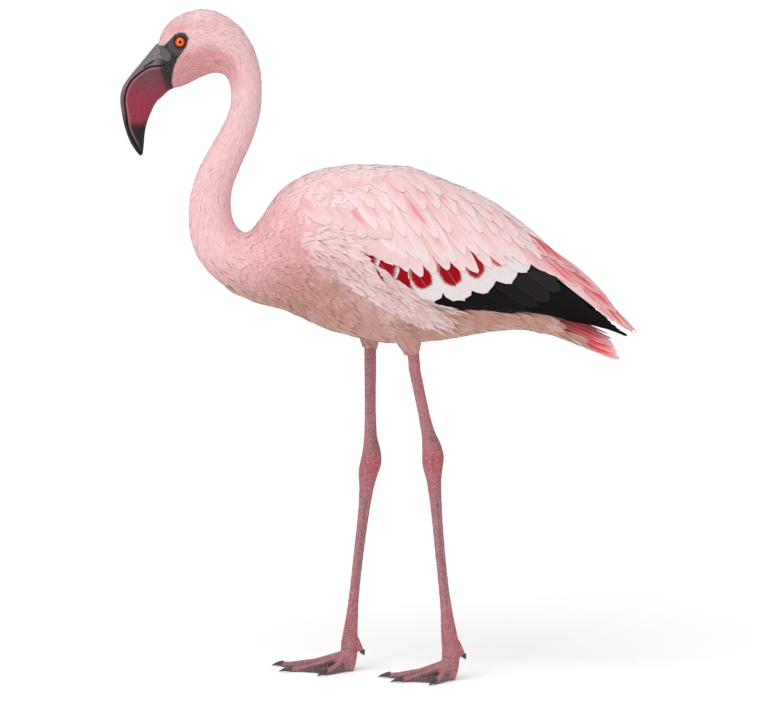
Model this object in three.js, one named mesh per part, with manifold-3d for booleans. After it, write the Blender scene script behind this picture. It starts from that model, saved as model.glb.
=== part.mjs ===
// A standing lesser flamingo, life size, modelled as separate closed solids in millimetres.
// +Z is up, the bird faces -Y and its left side is +X. The origin is the bottom centre of its box.
import * as THREE from 'three';
import { mergeVertices } from 'three/addons/utils/BufferGeometryUtils.js';
import Module from 'manifold-3d';

const wasm = await Module();
wasm.setup();

// ---------- driving dimensions ----------

const seam = 0.3; // clearance between neighbouring solids
const halfSeam = seam / 2;
const cutTolerance = 0.05; // slivers smaller than this are taken out of cut solids
const legSpread = 34; // sideways distance from the middle of the body to each leg

// One continuous body from the bill's root to the rump. Each station is the line from the back's outline
// to the throat's or belly's, and half the width: [back y, back z, front y, front z, half width].
const bodyStations = [
  [-281, 809, -263, 751, 13.5],
  [-273, 828, -255, 752, 17.5],
  [-258, 843, -243, 756, 21.5],
  [-218, 854, -217, 768, 25],
  [-172, 829, -200, 769, 22.5],
  [-148, 778, -192, 759, 21.5],
  [-145, 747, -190, 749, 21],
  [-148, 714, -193, 723, 21.5],
  [-160, 679, -206, 698, 22.5],
  [-182, 631, -234, 647, 24.5],
  [-186, 600, -245, 598, 27],
  [-179, 575, -237, 543, 30.5],
  [-167, 570, -206, 504, 36],
  [-150, 588, -160, 480, 46],
  [-122, 627, -118, 469, 56],
  [-69, 652, -69, 446, 70],
  [1, 656, 1, 429, 77],
  [45, 648, 45, 428, 74.5],
  [89, 622, 89, 433, 69],
  [180, 562, 180, 446, 45],
  [256, 484, 256, 428, 21],
  [286, 449, 286, 420, 9],
];
// Body stations where one solid ends and the next begins.
const cuts = { napeEnd: 4, upperNeckEnd: 7, middleNeckEnd: 9.6, lowerNeckEnd: 13 };
const rumpEnd = bodyStations.length - 1;

// The outside of the folded wings: [y, top z, bottom z, half width].
const wingStations = [
  [-118, 632, 470, 60],
  [-75, 654, 440, 80],
  [-31, 660, 430, 88],
  [27, 657, 426, 90],
  [91, 634, 430, 83],
  [137, 614, 434, 72],
  [184, 581, 436, 58],
  [229, 541, 432, 44],
  [275, 502, 424, 28],
  [306, 468, 420, 15],
  [331, 442, 430, 4],
];
// Side outlines, as smooth curves through [y, z] points.
const wingUpperEdge = [[40, 700], [29, 654], [5, 638], [-30, 629], [-70, 618], [-98, 602]];
const wingLowerEdge = [[-98, 602], [-112, 580], [-100, 553], [-44, 537], [-10, 508], [37, 490], [80, 476]];
const wingTrailingEdge = [
  [80, 476], [116, 481], [152, 495], [186, 528], [232, 497], [270, 479], [290, 459], [315, 434],
];
const flightLowerEdge = [[77, 474], [152, 470], [228, 462], [280, 450], [316, 433]];
const wingTop = 700; // above the whole back
const wingRear = 340; // behind the wing tips

const tailSize = { length: 128, rootRise: 21, tipRise: 3, rootHalfWidth: 27, tipHalfWidth: 37 };
const tailRoot = { y: 196, z: 470 };
const tailPitch = THREE.MathUtils.degToRad(-29); // below the horizon

// The bill's sections from its root to its tip: ridge, mouth line and keel as [y, z], and half width.
const billStations = [
  { ridge: [-281, 809], mouth: [-272, 781], keel: [-263, 751], halfWidth: 13.5 },
  { ridge: [-300, 786], mouth: [-287, 779.5], keel: [-268, 748], halfWidth: 15 },
  { ridge: [-315, 768], mouth: [-303, 771], keel: [-275, 741], halfWidth: 15.5 },
  { ridge: [-325, 753], mouth: [-315, 759], keel: [-282, 735], halfWidth: 14.5 },
  { ridge: [-328, 738], mouth: [-321, 743], keel: [-288, 724], halfWidth: 12.5 },
  { ridge: [-326, 720], mouth: [-320, 721], keel: [-293, 712], halfWidth: 10.5 },
  { ridge: [-321, 698], mouth: [-317, 700], keel: [-297, 697], halfWidth: 8 },
  { ridge: [-313, 679], mouth: [-310, 684], keel: [-298.5, 681], halfWidth: 5.2 },
  { ridge: [-302.5, 665.5], mouth: [-302, 668.5], keel: [-300, 667], halfWidth: 1.6 },
];

// The upper bill is an arch; the lower one is a little narrower, with flatter cheeks.
const billShape = { upper: { narrowing: 1, fullness: 1 }, lower: { narrowing: 0.96, fullness: 0.8 } };

const eye = { y: -250.5, z: 810, x: 13.4, radius: 9 };

// Where each leg stands. The lines from hip to ankle to foot are the leg's middle, as [y, z]. `bow` is how
// far the lower one bends forward, `turn` how far the foot turns towards +X, and `reach` scales its toes.
const legs = {
  left: {
    side: 1, hip: [38, 430], ankle: [68.5, 286], foot: [92, 42], bow: -2.6,
    turn: 10, reach: 0.9, halluxHeight: 48, tuftRadius: 20, tuftBottom: 415,
  },
  right: {
    side: -1, hip: [-11.5, 430], ankle: [-11, 270], foot: [-38, 38], bow: -1.8,
    turn: 0, reach: 1.05, halluxHeight: 42, tuftRadius: 16, tuftBottom: 418,
  },
};
// The leg's thickness: [height over the ankle, half thickness front to back, how far its middle is set back].
const legStations = [
  [140, 8.2, 0], [75, 7.7, 0], [42, 8.3, 0], [30, 9.6, 0.5], [20, 11.6, 1.5], [8, 13.6, 1.2],
  [-2, 14.5, 0], [-12, 13.4, -1], [-24, 11, -0.8], [-40, 9, -0.3], [-70, 7.6, 0], [-110, 7, 0],
  [-165, 6.9, 0], [-192, 7.6, 0], [-208, 9, 0], [-222, 10.4, -0.5], [-244, 12, -0.5],
];
const legFlatness = 0.84; // the leg's width over its thickness front to back
const legCuts = { shankEnd: 34, ankleEnd: -32 };

// Toes by the way they point from straight ahead, turning towards +X, with their length up to the claw.
const toes = [
  { name: 'far', heading: -20, length: 91 },
  { name: 'middle', heading: 6, length: 75 },
  { name: 'near', heading: 48, length: 46 },
];
const toeSize = { rootHeight: 25, tipHeight: 4, rootRadius: 7.8, tipRadius: 4 };
const webReach = [0.2, 0.9]; // shares of the toes between which a web is stretched
const webThickness = 2.2;
const heelPad = { radius: 8.5, forward: 2.5 };
const claw = { length: 13, radius: 3.5, tipRadius: 0.5, droop: 2.8 };
const hallux = { length: 18, clawLength: 5.5, radius: 4.2, tipRadius: 3.2, lean: 26, inset: 2.2 };

// ---------- shapes ----------

const along = new THREE.Vector3(1, 0, 0); // sideways across the bird

// A closed outline of points round `centre`: `halfWidth` along `across`, `rise` and `drop` along `up`.
function ring(centre, across, up, { halfWidth, rise, drop = rise, sides }) {
  return Array.from({ length: sides }, (_, i) => {
    const angle = (i / sides) * 2 * Math.PI;
    const height = Math.sin(angle) * (Math.sin(angle) > 0 ? rise : drop);
    return centre
      .clone()
      .addScaledVector(across, Math.cos(angle) * halfWidth)
      .addScaledVector(up, height);
  });
}

// A closed geometry through rings with the same number of points, capped at both ends.
function loft(rings) {
  const sides = rings[0].length;
  const points = rings.flat();
  const index = [];
  for (let r = 0; r + 1 < rings.length; r++) {
    for (let i = 0; i < sides; i++) {
      const next = (i + 1) % sides;
      const [a, b, c, d] = [r * sides + i, r * sides + next, (r + 1) * sides + next, (r + 1) * sides + i];
      index.push(a, b, c, a, c, d);
    }
  }
  const cap = (first, outward) => {
    const middle = points.length;
    const sum = new THREE.Vector3();
    for (let i = 0; i < sides; i++) sum.add(points[first + i]);
    points.push(sum.divideScalar(sides));
    for (let i = 0; i < sides; i++) {
      const [a, b] = [first + i, first + ((i + 1) % sides)];
      index.push(...(outward ? [a, b, middle] : [b, a, middle]));
    }
  };
  cap(0, false);
  cap((rings.length - 1) * sides, true);
  const geometry = new THREE.BufferGeometry().setFromPoints(points);
  geometry.setIndex(index);
  return geometry;
}

// Values of a table of rows at any place between them, by the table's first column.
function smoothTable(rows, keyed = true) {
  const keys = rows.map((row, i) => (keyed ? row[0] : i));
  const descending = keys[0] > keys[keys.length - 1];
  const sorted = descending ? [...rows].reverse() : rows;
  const values = sorted.flat();
  const places = descending ? [...keys].reverse() : keys;
  const curve = new THREE.CubicInterpolant(places, values, rows[0].length);
  return (place) => Array.from(curve.evaluate(place));
}

// Evenly spaced numbers from `start` to `end`, both included.
const spread = (start, end, count) =>
  Array.from({ length: count }, (_, i) => start + ((end - start) * i) / (count - 1));

// ---------- solids ----------

function solidOf(geometry) {
  const bare = geometry.clone();
  bare.deleteAttribute('normal');
  bare.deleteAttribute('uv');
  const merged = mergeVertices(bare, 1e-4);
  const mesh = new wasm.Mesh({
    numProp: 3,
    vertProperties: new Float32Array(merged.attributes.position.array),
    triVerts: new Uint32Array(merged.index.array),
  });
  const solid = new wasm.Manifold(mesh);
  if (solid.volume() > 0) return solid;
  for (let i = 0; i < mesh.triVerts.length; i += 3) {
    [mesh.triVerts[i + 1], mesh.triVerts[i + 2]] = [mesh.triVerts[i + 2], mesh.triVerts[i + 1]];
  }
  return new wasm.Manifold(mesh);
}

function geometryOf(solid) {
  const { vertProperties, triVerts } = solid.getMesh();
  const geometry = new THREE.BufferGeometry();
  geometry.setAttribute('position', new THREE.BufferAttribute(new Float32Array(vertProperties), 3));
  geometry.setIndex(Array.from(triVerts));
  geometry.computeVertexNormals();
  return geometry;
}

// A slab over a side outline of [y, z] points, from x = `inner` to x = `outer`.
function sideSlab(outline, inner, outer) {
  const shape = new THREE.Shape(outline.map(([y, z]) => new THREE.Vector2(y, z)));
  const geometry = new THREE.ExtrudeGeometry(shape, { depth: Math.abs(outer - inner), bevelEnabled: false });
  const toRow = new THREE.Matrix4().makeBasis(
    new THREE.Vector3(0, 1, 0),
    new THREE.Vector3(0, 0, 1),
    new THREE.Vector3(1, 0, 0),
  );
  return solidOf(geometry.applyMatrix4(toRow).translate(Math.min(inner, outer), 0, 0));
}

// Points on a smooth curve through the given [y, z] points.
function smoothLine(points, count) {
  const curve = new THREE.SplineCurve(points.map(([y, z]) => new THREE.Vector2(y, z)));
  return curve.getPoints(count).map((p) => [p.x, p.y]);
}

// ---------- body ----------

const backCurve = new THREE.CatmullRomCurve3(
  bodyStations.map(([y, z, , , halfWidth]) => new THREE.Vector3(halfWidth, y, z)),
);
const frontCurve = new THREE.CatmullRomCurve3(
  bodyStations.map(([, , y, z]) => new THREE.Vector3(0, y, z)),
);

// The body's outline at a station, made larger by `grow` and moved by `shift` across its own plane.
function bodyRing(station, sides, grow = 0, shift = 0) {
  const back = backCurve.getPoint(station / rumpEnd);
  const halfWidth = back.x;
  back.x = 0;
  const front = frontCurve.getPoint(station / rumpEnd);
  const up = back.clone().sub(front).normalize();
  const onward = new THREE.Vector3().crossVectors(up, along);
  const centre = back.clone().add(front).multiplyScalar(0.5).addScaledVector(onward, shift);
  const rise = back.distanceTo(front) / 2 + grow;
  return ring(centre, along, up, { halfWidth: halfWidth + grow, rise, sides });
}

// The stretch of body between two stations, half a seam short at each cut end.
function bodyStretch(start, end, { step = 0.5, sides = 20, grow = 0 } = {}) {
  const stations = spread(start, end, Math.max(2, Math.round((end - start) / step) + 1));
  const last = stations.length - 1;
  return loft(
    stations.map((station, i) => {
      const shift = { 0: halfSeam, [last]: -halfSeam }[i] ?? 0;
      return bodyRing(station, sides, grow, shift);
    }),
  );
}

const trunkSides = 24;
const trunk = solidOf(bodyStretch(cuts.lowerNeckEnd, rumpEnd, { sides: trunkSides, step: 0.5 }));
const trunkRoom = solidOf(
  bodyStretch(cuts.lowerNeckEnd - 0.01, rumpEnd, { sides: trunkSides, step: 0.5, grow: seam }),
);

function eyeball(side, radius) {
  const geometry = new THREE.SphereGeometry(radius, 14, 8);
  return geometry.translate(side * eye.x, eye.y, eye.z);
}

function makeHead() {
  const whole = solidOf(bodyStretch(0, cuts.napeEnd, { sides: 22, step: 0.4 }));
  const sockets = [1, -1].map((side) => solidOf(eyeball(side, eye.radius + seam)));
  return whole.subtract(sockets[0]).subtract(sockets[1]);
}

// ---------- bill ----------

// Half of the bill's cross-section, as an arch over the mouth line or a keel under it.
function billRing(station, part, sides) {
  const [ridgeY, ridgeZ, mouthY, mouthZ, keelY, keelZ, halfWidth] = station;
  const mouth = new THREE.Vector3(0, mouthY, mouthZ);
  const edge = part === 'upper' ? new THREE.Vector3(0, ridgeY, ridgeZ) : new THREE.Vector3(0, keelY, keelZ);
  const way = edge.clone().sub(mouth);
  const depth = Math.max(way.length() - halfSeam, 0.8);
  way.normalize();
  const { narrowing, fullness } = billShape[part];
  return Array.from({ length: sides }, (_, i) => {
    const angle = (i / (sides - 1)) * Math.PI;
    const spreadShare = Math.sign(Math.cos(angle)) * Math.abs(Math.cos(angle)) ** fullness;
    return mouth
      .clone()
      .addScaledVector(along, spreadShare * halfWidth * narrowing)
      .addScaledVector(way, halfSeam + depth * Math.sin(angle));
  });
}

function makeBill(part) {
  const rows = billStations.map((section) => {
    const { ridge, mouth, keel, halfWidth } = section;
    return [...ridge, ...mouth, ...keel, halfWidth];
  });
  const at = smoothTable(rows, false);
  const stations = spread(0, rows.length - 1, 15).map(at);
  const rings = stations.map((station) => billRing(station, part, 11));
  const outOfFace = new THREE.Vector3(0, -seam * 0.8, -seam * 0.3);
  rings[0].forEach((point) => point.add(outOfFace));
  return solidOf(loft(rings));
}

// ---------- tail and wings ----------

function makeTail(grow = 0) {
  const down = new THREE.Vector3(0, Math.cos(tailPitch), Math.sin(tailPitch));
  const up = new THREE.Vector3(0, -Math.sin(tailPitch), Math.cos(tailPitch));
  const rings = spread(0, 1, 6).map((share) => {
    const root = new THREE.Vector3(0, tailRoot.y, tailRoot.z);
    const halfWidth = THREE.MathUtils.lerp(tailSize.rootHalfWidth, tailSize.tipHalfWidth, share);
    const rise = THREE.MathUtils.lerp(tailSize.rootRise, tailSize.tipRise, share ** 0.9);
    const rounding = Math.sqrt(1 - 0.45 * share ** 6); // the fan's corners are rounded
    return ring(root.addScaledVector(down, share * tailSize.length), along, up, {
      halfWidth: halfWidth * rounding + grow,
      rise: rise + grow,
      sides: 18,
    });
  });
  return solidOf(loft(rings));
}

const tailRoom = makeTail(seam);

// The outside of both wings and of the back under them.
const wingEnvelope = (() => {
  const at = smoothTable(wingStations);
  const first = wingStations[0][0];
  const last = wingStations[wingStations.length - 1][0];
  const rings = spread(first, last, 18).map((place) => {
    const [y, top, bottom, halfWidth] = at(place);
    const centre = new THREE.Vector3(0, y, (top + bottom) / 2);
    const up = new THREE.Vector3(0, 0, 1);
    return ring(centre, along, up, { halfWidth, rise: (top - bottom) / 2, sides: trunkSides });
  });
  return solidOf(loft(rings));
})();

// A wing's coverts and tertials, which lie over its flight feathers.
function makeWing(side) {
  const upperOutline = [
    ...smoothLine(wingUpperEdge, 10),
    ...smoothLine(wingLowerEdge, 12).slice(1),
    ...smoothLine(wingTrailingEdge, 14).slice(1),
    [wingRear, 434],
    [wingRear, wingTop],
  ];
  const slab = sideSlab(upperOutline, side * halfSeam, side * 120);
  return wingEnvelope.intersect(slab).subtract(trunkRoom).subtract(tailRoom);
}

// A wing's black primaries and secondaries, which show under the coverts and tertials.
function makeFlight(side) {
  const upperEdge = smoothLine(wingTrailingEdge, 14).map(([y, z]) => [y, z - seam]);
  const lowerEdge = smoothLine(flightLowerEdge, 6).reverse();
  const slab = sideSlab([...upperEdge, ...lowerEdge.slice(1, -1)], side * halfSeam, side * 120);
  return wingEnvelope.intersect(slab).subtract(trunkRoom).subtract(tailRoom);
}

// ---------- legs ----------

const legProfile = smoothTable(legStations);

// The leg's outline at a height over or under its ankle.
function legRing(leg, height, sides) {
  const [, radius, setback] = legProfile(height);
  const end = height > 0 ? leg.hip : leg.foot;
  const share = height / (end[1] - leg.ankle[1]);
  const bow = height > 0 ? 0 : leg.bow * 4 * share * (1 - share);
  const y = THREE.MathUtils.lerp(leg.ankle[0], end[0], share) + setback + bow;
  const centre = new THREE.Vector3(leg.side * legSpread, y, leg.ankle[1] + height);
  const size = { halfWidth: radius * legFlatness, rise: radius, sides };
  return ring(centre, along, new THREE.Vector3(0, 1, 0), size);
}

function legStretch(leg, top, bottom, count) {
  return loft(spread(top - halfSeam, bottom + halfSeam, count).map((height) => legRing(leg, height, 12)));
}

// The tuft of feathers where the leg leaves the belly.
function makeThigh(leg) {
  const top = 452;
  const rings = spread(0, 1, 5).map((share) => {
    const z = THREE.MathUtils.lerp(top, leg.tuftBottom, share);
    const [y] = legRing(leg, z - leg.ankle[1], 4).map((p) => p.y);
    const radius = THREE.MathUtils.lerp(leg.tuftRadius * 1.35, 9.6, share ** 0.8);
    const centre = new THREE.Vector3(leg.side * legSpread, y, z);
    return ring(centre, along, new THREE.Vector3(0, 1, 0), { halfWidth: radius, rise: radius, sides: 16 });
  });
  return solidOf(loft(rings)).subtract(trunkRoom);
}

// ---------- feet ----------

// A toe's middle line, with its direction and size, at a share of its length.
function toePlace(leg, toe, share) {
  const heading = THREE.MathUtils.degToRad(toe.heading + leg.turn);
  const ahead = new THREE.Vector3(Math.sin(heading), -Math.cos(heading), 0);
  const { rootHeight, tipHeight, rootRadius, tipRadius } = toeSize;
  const height = tipHeight + (rootHeight - tipHeight) * (1 - share) ** 2;
  const knuckles = 0.35 * Math.cos(share * 3 * 2 * Math.PI);
  const ankleFoot = new THREE.Vector3(leg.side * legSpread, leg.foot[0], height);
  return {
    centre: ankleFoot.addScaledVector(ahead, share * toe.length * leg.reach),
    ahead,
    sideways: new THREE.Vector3(-ahead.y, ahead.x, 0),
    radius: THREE.MathUtils.lerp(rootRadius, tipRadius, share ** 0.7) + knuckles,
  };
}

function makeToe(leg, toe) {
  const rings = spread(0, 1, 7).map((share) => {
    const { centre, sideways, radius } = toePlace(leg, toe, share);
    const roundTip = share === 1 ? 0.8 : 1;
    const size = { halfWidth: radius * roundTip, rise: radius * roundTip, drop: centre.z + 1, sides: 8 };
    return ring(centre, sideways, new THREE.Vector3(0, 0, 1), size);
  });
  return solidOf(loft(rings));
}

// The skin stretched between two toes, with a hollow front edge.
function makeWeb(leg, toeA, toeB) {
  const hollow = 0.8;
  const rings = spread(webReach[0], webReach[1], 5).map((share) => {
    const a = toePlace(leg, toeA, share).centre;
    const b = toePlace(leg, toeB, share).centre;
    const middle = toePlace(leg, toeA, share * hollow)
      .centre.add(toePlace(leg, toeB, share * hollow).centre)
      .multiplyScalar(0.5);
    middle.z = Math.min(a.z, b.z) * 0.55;
    a.z *= 0.6;
    b.z *= 0.6;
    const tops = [a, middle, b];
    const bottoms = [b, middle, a].map((p) => p.clone().setZ(p.z - webThickness));
    return [...tops, ...bottoms];
  });
  return solidOf(loft(rings));
}

const floorCutter = solidOf(new THREE.BoxGeometry(1000, 1000, 100).translate(0, 0, -50));

// The foot's root, which narrows from the leg's end to a pad on the floor.
function makeHeel(leg) {
  const top = leg.foot[1] - seam;
  const rings = spread(top, 0, 5).map((z) => {
    const share = 1 - z / top;
    const outline = legRing(leg, leg.foot[1] - leg.ankle[1], 12);
    const centre = outline.reduce((sum, p) => sum.add(p), new THREE.Vector3()).divideScalar(outline.length);
    const [, radius] = legProfile(leg.foot[1] - leg.ankle[1]);
    const rise = THREE.MathUtils.lerp(radius, heelPad.radius, share ** 3);
    centre.set(centre.x, centre.y - heelPad.forward * share ** 3, z);
    const size = { halfWidth: rise * legFlatness, rise, sides: 12 };
    return ring(centre, along, new THREE.Vector3(0, 1, 0), size);
  });
  return solidOf(loft(rings));
}

function makeFoot(leg) {
  const shapes = [
    ...toes.map((toe) => makeToe(leg, toe)),
    makeWeb(leg, toes[0], toes[1]),
    makeWeb(leg, toes[1], toes[2]),
  ];
  return shapes.reduce((foot, shape) => foot.add(shape), makeHeel(leg)).subtract(floorCutter);
}

// A claw that narrows from `start` along `way`, drooping towards its tip.
function makeClaw(start, way, across, up, length, droop) {
  const rings = spread(0, 1, 4).map((share) => {
    const rise = THREE.MathUtils.lerp(claw.radius, claw.tipRadius, share ** 1.3);
    const centre = start.clone().addScaledVector(way, seam + share * length);
    centre.addScaledVector(up, -droop * share ** 2);
    return ring(centre, across, up, { halfWidth: rise * 0.8, rise, sides: 6 });
  });
  return loft(rings);
}

function toeClaw(leg, toe) {
  const { centre, ahead, sideways } = toePlace(leg, toe, 1);
  return makeClaw(centre, ahead, sideways, new THREE.Vector3(0, 0, 1), claw.length, claw.droop);
}

// The small hind toe's middle line, which hangs clear of the floor.
function halluxPlace(leg, share) {
  const lean = THREE.MathUtils.degToRad(hallux.lean);
  const way = new THREE.Vector3(0, Math.sin(lean), -Math.cos(lean));
  const rearY = Math.max(...legRing(leg, leg.halluxHeight - leg.ankle[1], 4).map((p) => p.y));
  const start = new THREE.Vector3(leg.side * legSpread, rearY - hallux.inset, leg.halluxHeight);
  return {
    way,
    up: new THREE.Vector3(0, Math.cos(lean), Math.sin(lean)),
    centre: start.addScaledVector(way, share * hallux.length),
  };
}

function makeHallux(leg, room) {
  const rings = spread(0, 1, 5).map((share) => {
    const { centre, up } = halluxPlace(leg, share);
    const radius = THREE.MathUtils.lerp(hallux.radius, hallux.tipRadius, share);
    return ring(centre, along, up, { halfWidth: radius, rise: radius, sides: 10 });
  });
  return solidOf(loft(rings)).subtract(room);
}

function halluxClaw(leg) {
  const { centre, way, up } = halluxPlace(leg, 1);
  return makeClaw(centre, way, along, up, hallux.clawLength, 0);
}

// Room round the lower leg and foot, for the hind toe to butt against.
function legRoom(leg, foot) {
  const sleeve = loft(
    spread(90, leg.foot[1] - 4, 6).map((z) => {
      const outline = legRing(leg, z - leg.ankle[1], 12);
      const centre = outline.reduce((sum, p) => sum.add(p), new THREE.Vector3()).divideScalar(outline.length);
      return outline.map((p) => p.add(p.clone().sub(centre).setLength(seam)));
    }),
  );
  return solidOf(sleeve).add(foot.translate([0, seam, 0])).add(foot);
}

// ---------- finishes ----------

const finishes = {
  plumage: { color: 0xf0bfc2, roughness: 0.85 },
  flight: { color: 0x1c1a1c, roughness: 0.55 },
  bareSkin: { color: 0xb0636e, roughness: 0.6 },
  billDark: { color: 0x4a3f45, roughness: 0.45 },
  billRed: { color: 0x97394f, roughness: 0.45 },
  claw: { color: 0x3a3638, roughness: 0.5 },
  eye: { color: 0xe8481c, roughness: 0.08 },
};
const materials = Object.fromEntries(
  Object.entries(finishes).map(([name, look]) => [
    name,
    new THREE.MeshStandardMaterial({ name, metalness: 0, ...look }),
  ]),
);

// ---------- the bird ----------

const bird = new THREE.Group();

function place(name, shape, material) {
  const solid = shape.isBufferGeometry ? solidOf(shape) : shape.simplify(cutTolerance);
  const mesh = new THREE.Mesh(geometryOf(solid), materials[material]);
  mesh.name = name;
  bird.add(mesh);
}

place('head', makeHead(), 'plumage');
place('bill_upper', makeBill('upper'), 'billDark');
place('bill_lower', makeBill('lower'), 'billRed');
place('neck_upper', bodyStretch(cuts.napeEnd, cuts.upperNeckEnd), 'plumage');
place('neck_middle', bodyStretch(cuts.upperNeckEnd, cuts.middleNeckEnd), 'plumage');
place('neck_lower', bodyStretch(cuts.middleNeckEnd, cuts.lowerNeckEnd, { sides: 20, step: 0.4 }), 'plumage');
place('trunk', trunk, 'plumage');
place('tail', makeTail().subtract(trunkRoom), 'plumage');

for (const [name, leg] of Object.entries(legs)) {
  place(`eye_${name}`, eyeball(leg.side, eye.radius), 'eye');
  place(`wing_${name}`, makeWing(leg.side), 'plumage');
  place(`flight_${name}`, makeFlight(leg.side), 'flight');
  place(`thigh_${name}`, makeThigh(leg), 'plumage');
  const shankTop = leg.tuftBottom - halfSeam - leg.ankle[1];
  place(`shank_${name}`, legStretch(leg, shankTop, legCuts.shankEnd, 6), 'bareSkin');
  place(`ankle_${name}`, legStretch(leg, legCuts.shankEnd, legCuts.ankleEnd, 9), 'bareSkin');
  place(`tarsus_${name}`, legStretch(leg, legCuts.ankleEnd, leg.foot[1] - leg.ankle[1], 10), 'bareSkin');
  const foot = makeFoot(leg);
  place(`foot_${name}`, foot, 'bareSkin');
  place(`hallux_${name}`, makeHallux(leg, legRoom(leg, foot)), 'bareSkin');
  place(`claw_${name}_hind`, halluxClaw(leg), 'claw');
  for (const toe of toes) place(`claw_${name}_${toe.name}`, toeClaw(leg, toe), 'claw');
}

const box = new THREE.Box3().setFromObject(bird);
const middle = box.getCenter(new THREE.Vector3());
bird.position.set(-middle.x, -middle.y, -box.min.z);

export default bird;
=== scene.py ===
import math

import bpy
import numpy as np
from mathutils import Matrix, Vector
from mathutils.bvhtree import BVHTree
from mathutils.kdtree import KDTree


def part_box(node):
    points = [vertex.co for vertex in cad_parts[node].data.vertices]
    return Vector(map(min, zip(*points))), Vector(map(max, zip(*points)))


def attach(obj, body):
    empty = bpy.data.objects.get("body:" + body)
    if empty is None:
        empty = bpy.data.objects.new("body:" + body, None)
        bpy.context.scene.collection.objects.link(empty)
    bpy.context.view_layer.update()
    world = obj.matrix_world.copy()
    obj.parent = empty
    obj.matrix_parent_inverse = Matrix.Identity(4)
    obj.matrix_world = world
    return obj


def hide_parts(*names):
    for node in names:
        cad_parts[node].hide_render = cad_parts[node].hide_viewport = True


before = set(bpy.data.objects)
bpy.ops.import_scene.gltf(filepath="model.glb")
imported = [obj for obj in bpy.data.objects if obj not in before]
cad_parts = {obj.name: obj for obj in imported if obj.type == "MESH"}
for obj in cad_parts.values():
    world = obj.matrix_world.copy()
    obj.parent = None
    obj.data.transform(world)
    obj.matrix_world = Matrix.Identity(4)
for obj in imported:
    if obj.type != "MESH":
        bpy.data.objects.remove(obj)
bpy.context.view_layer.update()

# A still, life-size flamingo. Metres, the bird faces -Y, its left side is +X, and it stands on z = 0.
scene = bpy.context.scene
mm = 0.001
sides = {"left": 1, "right": -1}


def pick(*objects):
    bpy.ops.object.select_all(action="DESELECT")
    for one in objects:
        one.select_set(True)
    bpy.context.view_layer.objects.active = objects[0]


def applied(thing, kind, **settings):
    # Adds a modifier with these settings and applies it.
    pick(thing)
    bpy.ops.object.modifier_add(type=kind)
    modifier = thing.modifiers[-1]
    for name, value in settings.items():
        setattr(modifier, name, value)
    bpy.ops.object.modifier_apply(modifier=modifier.name)
    return thing


def copyOf(names, title):
    # One merged mesh from copies of the frame's nodes.
    made = []
    for name in names:
        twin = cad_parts[name].copy()
        twin.data = twin.data.copy()
        twin.parent = None
        twin.data.materials.clear()
        for key in list(twin.keys()):
            del twin[key]
        scene.collection.objects.link(twin)
        made.append(twin)
    pick(*made)
    if len(made) > 1:
        bpy.ops.object.join()
    thing = made[0]
    thing.name = title
    thing.data.name = title
    bpy.ops.object.mode_set(mode="EDIT")
    bpy.ops.mesh.select_all(action="SELECT")
    bpy.ops.mesh.remove_doubles(threshold=0.00001)
    bpy.ops.mesh.normals_make_consistent(inside=False)
    bpy.ops.object.mode_set(mode="OBJECT")
    return thing


def pointsOf(thing):
    found = np.empty(len(thing.data.vertices) * 3)
    thing.data.vertices.foreach_get("co", found)
    return found.reshape(-1, 3)


def normalsOf(thing):
    found = np.empty(len(thing.data.vertices) * 3, np.float32)
    thing.data.vertex_normals.foreach_get("vector", found)
    return found.reshape(-1, 3).astype(float)


def movePoints(thing, points):
    thing.data.vertices.foreach_set("co", np.ascontiguousarray(points).ravel())
    thing.data.update()


def selectWhere(thing, test, domain="vertices"):
    # Selects the vertices or faces whose centres pass the test, and leaves edit mode on.
    pick(thing)
    bpy.ops.object.mode_set(mode="EDIT")
    bpy.ops.mesh.select_mode(type="VERT" if domain == "vertices" else "FACE")
    bpy.ops.mesh.select_all(action="DESELECT")
    bpy.ops.object.mode_set(mode="OBJECT")
    items = getattr(thing.data, domain)
    centres = np.empty(len(items) * 3)
    items.foreach_get("co" if domain == "vertices" else "center", centres)
    items.foreach_set("select", np.asarray(test(centres.reshape(-1, 3)), bool))
    bpy.ops.object.mode_set(mode="EDIT")


def grown(thing, amount):
    # Moves the whole surface out along its normals, so that split pieces overlap before a remesh.
    pick(thing)
    bpy.ops.object.mode_set(mode="EDIT")
    bpy.ops.mesh.select_all(action="SELECT")
    bpy.ops.transform.shrink_fatten(value=amount)
    bpy.ops.object.mode_set(mode="OBJECT")
    return thing


def remeshed(thing, voxel, rounds):
    # Joins all that overlaps into one closed surface, and smooths it this many times.
    applied(thing, "REMESH", mode="VOXEL", voxel_size=voxel, use_smooth_shade=True)
    return applied(thing, "SMOOTH", factor=0.5, iterations=rounds)


def cutAway(thing, place, normal):
    # Bisects the mesh at a plane, drops what lies on the normal's side and closes the cut.
    pick(thing)
    bpy.ops.object.mode_set(mode="EDIT")
    bpy.ops.mesh.select_all(action="SELECT")
    bpy.ops.mesh.bisect(plane_co=place, plane_no=normal, use_fill=True, clear_outer=True)
    bpy.ops.object.mode_set(mode="OBJECT")
    return thing


def sink(thing, depthAt, steps=4):
    # Draws the surface in along its normals, by a depth that changes from place to place.
    depth = depthAt(pointsOf(thing))
    for _ in range(steps):
        movePoints(thing, pointsOf(thing) - normalsOf(thing) * (depth / steps)[:, None])
    return thing


def united(base, *others):
    # One closed surface from forms that overlap. The others are used up.
    for other in others:
        applied(base, "BOOLEAN", operation="UNION", solver="MANIFOLD", object=other)
        bpy.data.objects.remove(other)
    return base


def smoothStep(low, high, value):
    # 0 at low and beyond it, 1 at high and beyond, smooth between. Low may be the larger.
    part = np.clip((value - low) / (high - low), 0, 1)
    return part * part * (3 - 2 * part)


def bell(value, middle, width):
    # 1 at the middle, and down to nearly 0 at twice the width from it.
    return np.exp(-((value - middle) / width) ** 2)


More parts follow.
